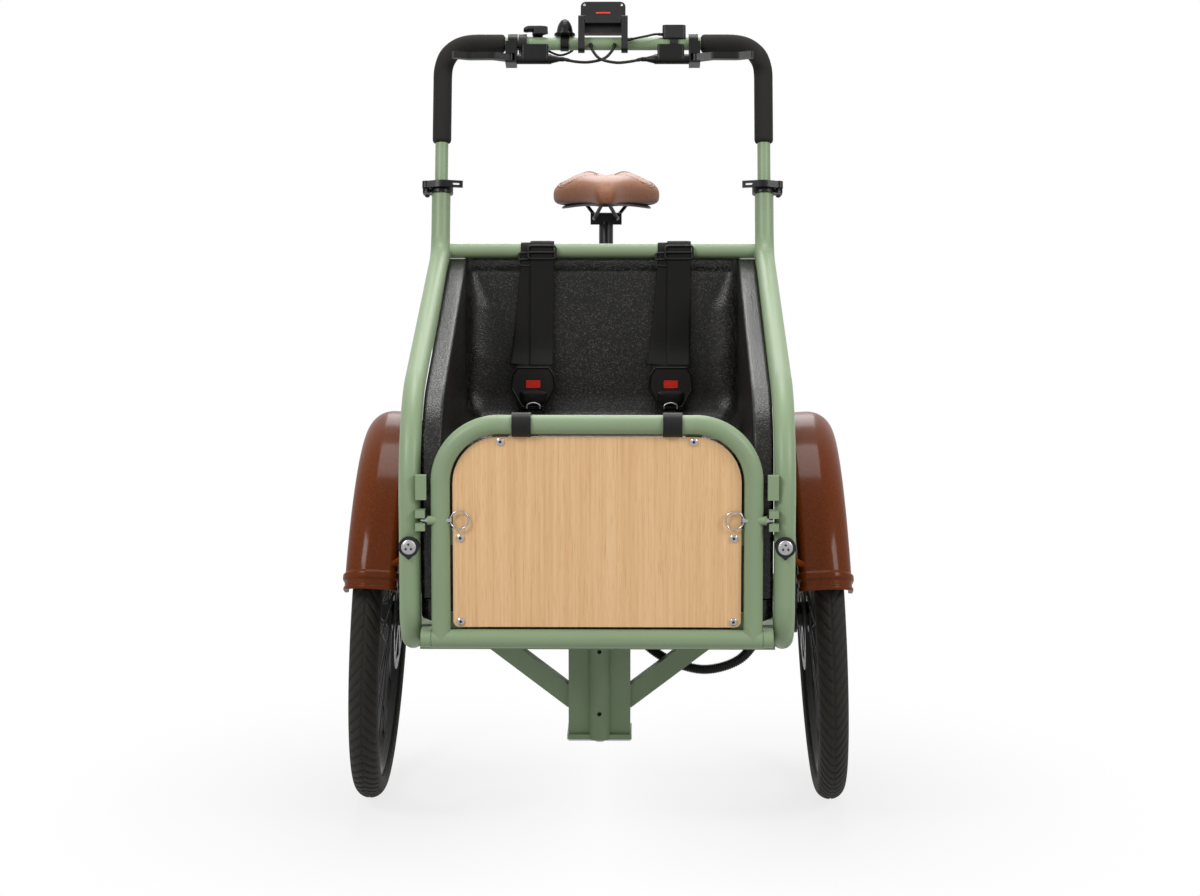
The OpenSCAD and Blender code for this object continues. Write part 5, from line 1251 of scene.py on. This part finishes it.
@dataclass
class Harness:
    """Two pairs of shoulder straps on the cross tube, and the crotch straps; sizes are the drawing's millimetres."""

    spread: float = 116.0
    shoulder_w: float = 40.0
    lays: tuple[tuple[float, float, float], ...] = ((-2.0, -20.0, 0.0), (14.0, 13.0, 2.6))
    crotch_w: float = 26.0
    thick: float = 2.0
    tube_at: tuple[float, float] = (294.0, 866.0)
    loop_r: float = 13.0
    buckle_top: tuple[float, float] = (243.0, 676.3)
    buckle_foot: tuple[float, float] = (242.0, 601.5)
    face_y: float = 236.0
    cover_z: float = 621.0

    def wound(self, middle: float, line: Array, y: float | Array, radius: float) -> Array:
        """A round bar along an upright line.

        Args:
            middle: X of the line's own 0.
            line: Points (n, 2) of (x, z).
            y: Place of the line along the tricycle, or one for each point.
            radius: The bar's radius.

        Returns:
            Grid (n, 10, 3) in metres.
        """
        path = np.stack([middle + line[:, 0], y + 0.0 * line[:, 0], line[:, 1]], axis=1)
        return row(carried(path, ring(10, radius), (0.0, 1.0, 0.0)))

    def tape(self, x: float | Array, line: Array, width: float, closed: bool = False) -> Patch:
        """A woven tape: a flat section with thinned edges carried along a line in the side plane.

        Args:
            x: Middle of the tape, or one for each point.
            line: Points (n, 2) of (y, z) that its middle follows.
            width: Its width.
            closed: The line is a loop.

        Returns:
            The tape's surface, with metres along and across in its UV.
        """
        across = np.linspace(-1.0, 1.0, 11)
        crown = self.thick / 2 * (1.0 - 0.45 * np.abs(across) ** 6)
        flat = width / 2 * np.concatenate([across, across[::-1]])
        section = np.stack([np.concatenate([crown, -crown[::-1]]), flat], axis=1)
        path = np.column_stack([x + np.zeros(len(line)), line])
        skin = carried(path, section, (1.0, 0.0, 0.0))
        length = along(line)[-1] / 1000.0
        return Patch(row(skin), closed_u=closed, closed_v=True, caps=not closed, size=(length, 2 * width / 1000.0))

    def build_shoulders(self, finishes: Finishes) -> None:
        """Hangs each pair of tapes and their loops on the cross tube, the inner tape behind and swung aside."""
        y, z = self.tube_at
        turn = angles(64)
        tapes = []
        for side in Side:
            for at_tube, at_buckle, ahead in self.lays:
                reach = self.loop_r + self.thick / 2 + ahead
                loop = np.stack([y + reach * np.cos(turn), z + reach * np.sin(turn)], axis=1)
                low = (self.buckle_top[0] - ahead, self.buckle_top[1])
                top = [(y - reach, z), (y - reach - 1.2, z - 24)]
                hang = spline([*top, (270.0 - ahead, 748.0), (262.5 - ahead, 702.0), low], 90)
                swing = np.linspace(0.0, 1.0, len(hang)) ** 1.3
                x = side.value * self.spread + at_tube + (at_buckle - at_tube) * swing
                tapes.append(self.tape(x, hang, self.shoulder_w))
                tapes.append(self.tape(side.value * self.spread + at_tube, loop, self.shoulder_w, True))
        finishes.piece("shoulder_webbing", tapes, Body.FRONT, "strap_black", ["shoulder_straps"])

    def slider(self, x: float, z: float, y: float) -> list[Patch]:
        """A ladder slider: a bar carried round a rounded rectangle, and one bar across its middle.

        Args:
            x: Middle of the tape that it holds.
            z: Height of its middle.
            y: Place of its middle along the tricycle.

        Returns:
            The frame and the middle bar.
        """
        a = angles(96)
        wide, tall = self.shoulder_w / 2 + 3.4, 11.0
        loop = np.stack([wide * blunt(np.cos(a), 0.28), z + tall * blunt(np.sin(a), 0.28)], axis=1)
        bar = np.stack([np.linspace(-wide, wide, 12), np.full(12, z)], axis=1)
        tilted = y + 0.05 * (loop[:, 1] - z)
        return [Patch.hoop(self.wound(x, loop, tilted, 1.9)), Patch.rod(self.wound(x, bar, y - 0.8, 1.9))]

    def build_sliders(self, finishes: Finishes) -> None:
        """Threads a slider on each shoulder tape, just in front of the cross tube; the rear one sits lower."""
        y, z = self.tube_at
        parts = []
        for side in Side:
            for at_tube, _, ahead in self.lays:
                drop = 13.0 if ahead == 0 else 1.0
                parts += self.slider(side.value * self.spread + at_tube, z - drop, y - self.loop_r - ahead - 2.6)
        finishes.piece("strap_sliders", parts, Body.FRONT, "part_black")

    def build_buckle_trim(self, finishes: Finishes) -> None:
        """Lays a raised rim round each buckle, a crowned cover below its red key, and a bow at its foot."""
        half = [(0.0, 606.0), (18.5, 606.0), (36.5, 638.0), (34.0, 660.0), (26.5, 672.5)]
        radii = [0, 5, 7, 5, 4]
        rim = filleted(half + [(-x, z) for x, z in half[::-1]], radii + radii[::-1], 160)[:-1]
        a = angles(64)
        share = np.array([1.0, 1.0, 0.94, 0.6, 0.001])[:, None]
        lift = np.array([0.0, 1.4, 2.4, 3.0, 3.2])[:, None] + 0.0 * a
        wide = 22.0 * blunt(np.cos(a), 0.5) * (1.0 + 0.2 * np.sin(a))
        tall = 13.0 * blunt(np.sin(a), 0.5)
        bow = spline([(-11.0, 603.0), (-10.0, 610.0), (0.0, 613.5), (10.0, 610.0), (11.0, 603.0)], 40)
        rims, bows = [], []
        for side in Side:
            middle = side.value * self.spread
            rims.append(Patch.hoop(self.wound(middle, rim, self.face_y - 0.4, 1.7)))
            cover = np.stack([middle + share * wide, self.face_y - lift, self.cover_z + share * tall], axis=2)
            rims.append(Patch.rod(row(cover)))
            bows.append(Patch.rod(self.wound(middle, bow, self.face_y - 3.4, 1.5)))
        finishes.piece("buckle_rims", rims, Body.FRONT, "black_metal")
        finishes.piece("buckle_bows", bows, Body.FRONT, "bare_steel")

    def build_crotch(self, finishes: Finishes) -> None:
        """Lays the crotch tapes down from the buckles, over the bench and down its front."""
        lift = 1.4
        bench = [(53.2 - lift, 502.3), (59.5 - lift, 580.4 + lift), (219.0, 580.4 + lift)]
        line = filleted([*bench, (233.0, 590.0), self.buckle_foot], [0, 28, 16, 14, 0], 120)
        tapes = [self.tape(s.value * self.spread, line, self.crotch_w) for s in Side]
        finishes.piece("crotch_webbing", tapes, Body.FRONT, "strap_black", ["crotch_straps"])


@dataclass
class CableLoom:
    """Corrugated conduit from the post to the right-hand brace; sizes are the drawing's millimetres."""

    outer_r: float = 8.0
    rib: float = 1.2
    ribs: int = 84

    def build(self, finishes: Finishes) -> None:
        """Carries a ring along the route, its radius dipping between ribs as a flattened cosine."""
        knots = [
            [60, -62, 305.8], [60, -58, 282], [78, -48, 252], [118, -44, 226], [170, -44, 214], [222, -46, 230],
            [250, -56, 268], [254, -62, 305.8],
        ]
        path = row(spline(knots, self.ribs * 8 + 1))
        wave = np.cos(np.linspace(0, 2 * np.pi * self.ribs, len(path)))
        radius = self.outer_r - self.rib * (0.5 - 0.5 * np.tanh(2.2 * wave) / math.tanh(2.2))
        skin = carried(path, ring(26, radius / 1000.0), (0.05, 1.0, 0.1))
        tube = Patch.rod(skin)
        piece = finishes.piece("corrugated_loom", [tube], Body.FRONT, "hose_black", ["cable_loom"])


@dataclass
class Saddle:
    """Wide saddle pad with two sunk lobes, on a black pan; sizes are the drawing's millimetres.

    Fields:
        lobe_half: Half the sunk oval's width, and half its length as a share of the saddle's.
        ahead: Share of the length that lies ahead of the post.
        side_power: Power of the cosine that blunts the pad's sides.
    """

    at: tuple[float, float, float] = (0.0, 940.603, 898.102)
    base: float = 30.0
    tall: float = 60.0
    droop: float = 18.0
    nose: float = 27.0
    length: float = 262.0
    width: float = 210.0
    widest: float = 0.78
    groove: float = 8.0
    lobe_x: float = 56.0
    lobe_u: float = 0.7
    lobe_half: tuple[float, float] = (38.0, 0.2)
    ahead: float = 0.56
    side_power: float = 0.62

    def half_width(self, u: Array) -> Array:
        """Half-width at a share u of the length: sin^2.6 up to the widest place, then drawn in, its ends rounded."""
        late = np.where(u > self.widest, 1 - 2.2 * np.clip(u - self.widest, 0, 1) ** 1.6, 1.0)
        swell = np.sin(np.pi / 2 * np.minimum(1, u / self.widest)) ** 2.6 * late
        return (self.nose + (self.width / 2 - self.nose) * swell) * self.rounding(u, 5.0)

    def rounding(self, u: Array, tail: float) -> Array:
        """Rounding of the two ends: (1 - |2u - 1|^n)^0.45, with n = 5 at the nose and the given one at the tail."""
        return np.clip(1 - np.abs(2 * u - 1) ** np.where(u < 0.5, 5.0, tail), 1e-6, 1.0) ** 0.45

    def skin(self, u: Array, a: Array) -> Array:
        """The pad's surface at shares u of its length, from nose to tail, and angles a round its section.

        The section is a blunt ellipse, x = w |cos a|^0.62 and z = h |sin a|^0.7, flattened below and drooping as x^2.
        A valley runs down the middle, and an oval is sunk into each rear lobe.

        Args:
            u: Shares of the length.
            a: Angles, that broadcast with u.

        Returns:
            Points (..., 3) in millimetres.
        """
        low = np.clip(-np.sin(a), 0, 1)
        x = self.half_width(u) * blunt(np.cos(a), self.side_power) * (1.0 - 0.06 * low**2)
        rise = blunt(np.maximum(-1.0, np.sin(a) - 0.3 * low), 0.7)
        behind = np.clip((u - 0.3) / 0.3, 0, 1)
        valley = self.groove * np.exp(-((x / 22.0) ** 2)) * behind * np.clip((1.0 - u) / 0.1, 0, 1)
        lobe = 4.0 * np.exp(-(((np.abs(x) - 46.0) / 26.0) ** 2)) * behind
        oval = ((np.abs(x) - self.lobe_x) / self.lobe_half[0]) ** 2 + ((u - self.lobe_u) / self.lobe_half[1]) ** 2
        sunk = 2.2 * np.clip((1.1 - oval) / 0.3, 0, 1)
        z = self.tall * self.rounding(u, 9.0) * (0.72 + 0.28 * u) / 2 * (1 + rise)
        crown = np.clip(np.sin(a), 0, 1) ** 0.5 * (lobe - valley - sunk)
        z = self.base + z - self.droop * (2 * x / self.width) ** 2 + crown
        y = -self.ahead * self.length + self.length * u + 0.0 * a
        return np.asarray(self.at) + np.stack([x, y, z], axis=-1)

    def seam(self, side: Side, share: float) -> Patch:
        """A stitched line round one lobe, at a share of the sunk oval's size."""
        t = angles(120)
        u = self.lobe_u + self.lobe_half[1] * share * np.sin(t)
        x = self.lobe_x + self.lobe_half[0] * share * np.cos(t)
        a = np.arccos(np.clip((x / self.half_width(u)) ** (1 / self.side_power), 0.0, 1.0))
        line = self.skin(u, a if side is Side.LEFT else np.pi - a) - [0.0, 0.0, 0.2]
        stitch = 0.7 * (1.0 + 0.15 * np.sin(60 * t))
        return Patch.hoop(row(carried(line, ring(8, stitch), (0.0, 0.05, 1.0))))

    def pan(self) -> Patch:
        """The moulded pan under the pad: a flat ring that follows the pad's underside, 8 mm thick."""
        u = (0.5 - 0.5 * np.cos(np.linspace(0.12, np.pi - 0.12, 81)))[:, None]
        a = angles(48)[None, :]
        x = 0.84 * self.half_width(u) * blunt(np.cos(a), 0.5)
        z = self.base - 1.5 + 4.0 * blunt(np.sin(a), 0.5) - self.droop * (2 * x / self.width) ** 2
        y = -self.ahead * self.length + self.length * (0.5 + 0.96 * (u - 0.5)) + 0.0 * a
        return Patch.rod(row(np.asarray(self.at) + np.stack([x, y, z], axis=2)))

    def build(self, finishes: Finishes) -> None:
        """Builds the pad, its stitching and its pan."""
        u = (0.5 - 0.5 * np.cos(np.linspace(0.0, np.pi, 141)))[:, None]
        a = angles(144)[None, :]
        hide = Patch.rod(row(self.skin(u, a)))
        pad = finishes.piece("saddle_pad", [hide], Body.SEAT, "saddle_leather", ["saddle"])
        seams = [self.seam(side, share) for side in Side for share in (1.0, 0.88)]
        make_piece("saddle_stitching", seams, finishes.thread, Body.SEAT)
        finishes.piece("saddle_pan", [self.pan()], Body.SEAT, "part_black")


def stud(profile: Sequence, spot: Array | Sequence, axis: Sequence[float], sides: int) -> Patch:
    """A capped stud: a profile of (rise, radius) turned about an axis at a spot, in the drawing's millimetres."""
    return Patch.rod(row(turned(profile, spot, axis, sides)))


@dataclass
class FrameTrim:
    """Weld beads on the frame's joints and the dots on the marker lenses; sizes are the drawing's millimetres."""

    rail_x: float = 275.0
    rail_r: float = 15.9
    rail_fall: float = math.radians(16.4)
    cross_at: tuple[float, float] = (294.0, 866.0)
    cross_r: float = 12.7
    bead_r: float = 2.4
    lens_at: tuple[float, float] = (-413.6, 471.0)
    board_at: tuple[float, float, float] = (0.0, -233.93, 393.16)
    board_up: tuple[float, float, float] = (0.0, -0.147809, 0.989016)
    bolt_face: float = -400.38
    bolts: tuple[tuple[float, float], ...] = (
        (-200, 359), (200, 359), (-200, 483), (200, 483), (-141, 625), (141, 625)
    )
    rivet_x: float = 148.0
    rivet_runs: tuple[float, ...] = (-100.0, -8.0, 88.0)
    dot_r: float = 4.6
    ahead: tuple[float, float, float] = (0.0, -1.0, 0.0)

    def bead(self, side: Side) -> Patch:
        """A weld bead where the cross tube meets a rail: x = rail - sqrt(R^2 - p^2), p across the rail's line."""
        a = angles(220)
        y, z = self.cross_r * np.cos(a), self.cross_r * np.sin(a)
        across = np.clip(z * math.cos(self.rail_fall) - y * math.sin(self.rail_fall), -self.rail_r, self.rail_r)
        x = self.rail_x - np.sqrt(self.rail_r**2 - across**2)
        path = np.stack([side.value * x, self.cross_at[0] + y * 1.03, self.cross_at[1] + z * 1.03], axis=1)
        radius = self.bead_r * (1.0 + 0.1 * np.sin(a * 46))
        return Patch.hoop(row(carried(path, ring(10, radius), (1.0, 0.0, 0.0))))

    def build(self, finishes: Finishes) -> None:
        """Lays the beads, dots the lenses, rivets the footboard, and sets a dark hexagon into each panel bolt as
        painted shade in its socket.
        """
        finishes.piece("weld_beads", [self.bead(side) for side in Side], Body.FRONT, "sage_paint")
        dome = [[-1.0, 1.7], [0.3, 1.6], [0.6, 0.9], [0.7, 0.01]]
        dots = []
        for side in Side:
            for turn in np.radians([90, 210, 330]):
                across, up = self.dot_r * math.cos(turn), self.dot_r * math.sin(turn)
                spot = [side.value * self.rail_x + across, self.lens_at[0], self.lens_at[1] + up]
                dots.append(stud(dome, spot, self.ahead, 16))
        finishes.piece("lens_dots", dots, Body.FRONT, "part_black")
        # Painted shade: a dark hexagon, a hair proud of each panel bolt's face, stands for the shade inside its
        # socket
        painted_socket_profile = [[-0.8, 2.3], [0.12, 2.3], [0.12, 1.2], [0.1, 0.01]]
        painted_sockets = [stud(painted_socket_profile, [x, self.bolt_face, z], self.ahead, 6) for x, z in self.bolts]
        head = [[-0.5, 7.0], [0.8, 6.6], [2.2, 4.6], [2.9, 2.2], [3.0, 0.01]]
        rivets = []
        for side in Side:
            for run in self.rivet_runs:
                slope = [side.value * self.rivet_x, run * self.board_up[2], -run * self.board_up[1]]
                rivets.append(stud(head, np.add(self.board_at, slope), self.board_up, 24))
        finishes.piece("board_rivets", rivets, Body.FRONT, "bright_chrome")
        finishes.piece("painted_socket_shades", painted_sockets, Body.DOOR, "part_black")


def main() -> None:
    """Sets the studio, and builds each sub-assembly."""
    logging.basicConfig(level=logging.INFO, format="%(name)s: %(message)s")
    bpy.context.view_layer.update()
    stage = Stage()
    stage.set_camera()
    finishes = Finishes()
    bar = Handlebar()
    bar.build_cords(finishes)
    CableLoom().build(finishes)
    finishes.dress_nodes(frame["nodes"], frame["record"]["subparts"])
    bar.build_sleeves(finishes)
    bar.build_display_trim(finishes)
    bar.build_paddle(finishes)
    wheels = Wheels()
    wheels.build(finishes)
    FenderSkin(
        "front_fender_skins", Body.FRONT, hub=(wheels.half_track, 0.0, wheels.front_z), crown_r=326.0,
        edges=(-46.0, 34.0), bends=(12.0, 40.0), drops=(34.4, 66.4), span=(81.9, 253.1), camber=wheels.camber,
        ridges=((249.2, 1.05, 3.4), (252.6, 0.6, 1.7)),
    ).build(finishes)
    FenderSkin(
        "rear_fender_skin", Body.REAR, hub=(0.0, wheels.wheelbase, wheels.rear_r), crown_r=347.0,
        edges=(-29.0, 29.0), bends=(16.0, 16.0), drops=(18.4, 18.4), span=(74.9, 253.1),
    ).build(finishes)
    ChildTub().build(finishes)
    harness = Harness()
    harness.build_shoulders(finishes)
    harness.build_sliders(finishes)
    harness.build_buckle_trim(finishes)
    harness.build_crotch(finishes)
    Saddle().build(finishes)
    FrameTrim().build(finishes)
    stage.light()
    stage.lay_floor()


if __name__ == "__main__":
    main()
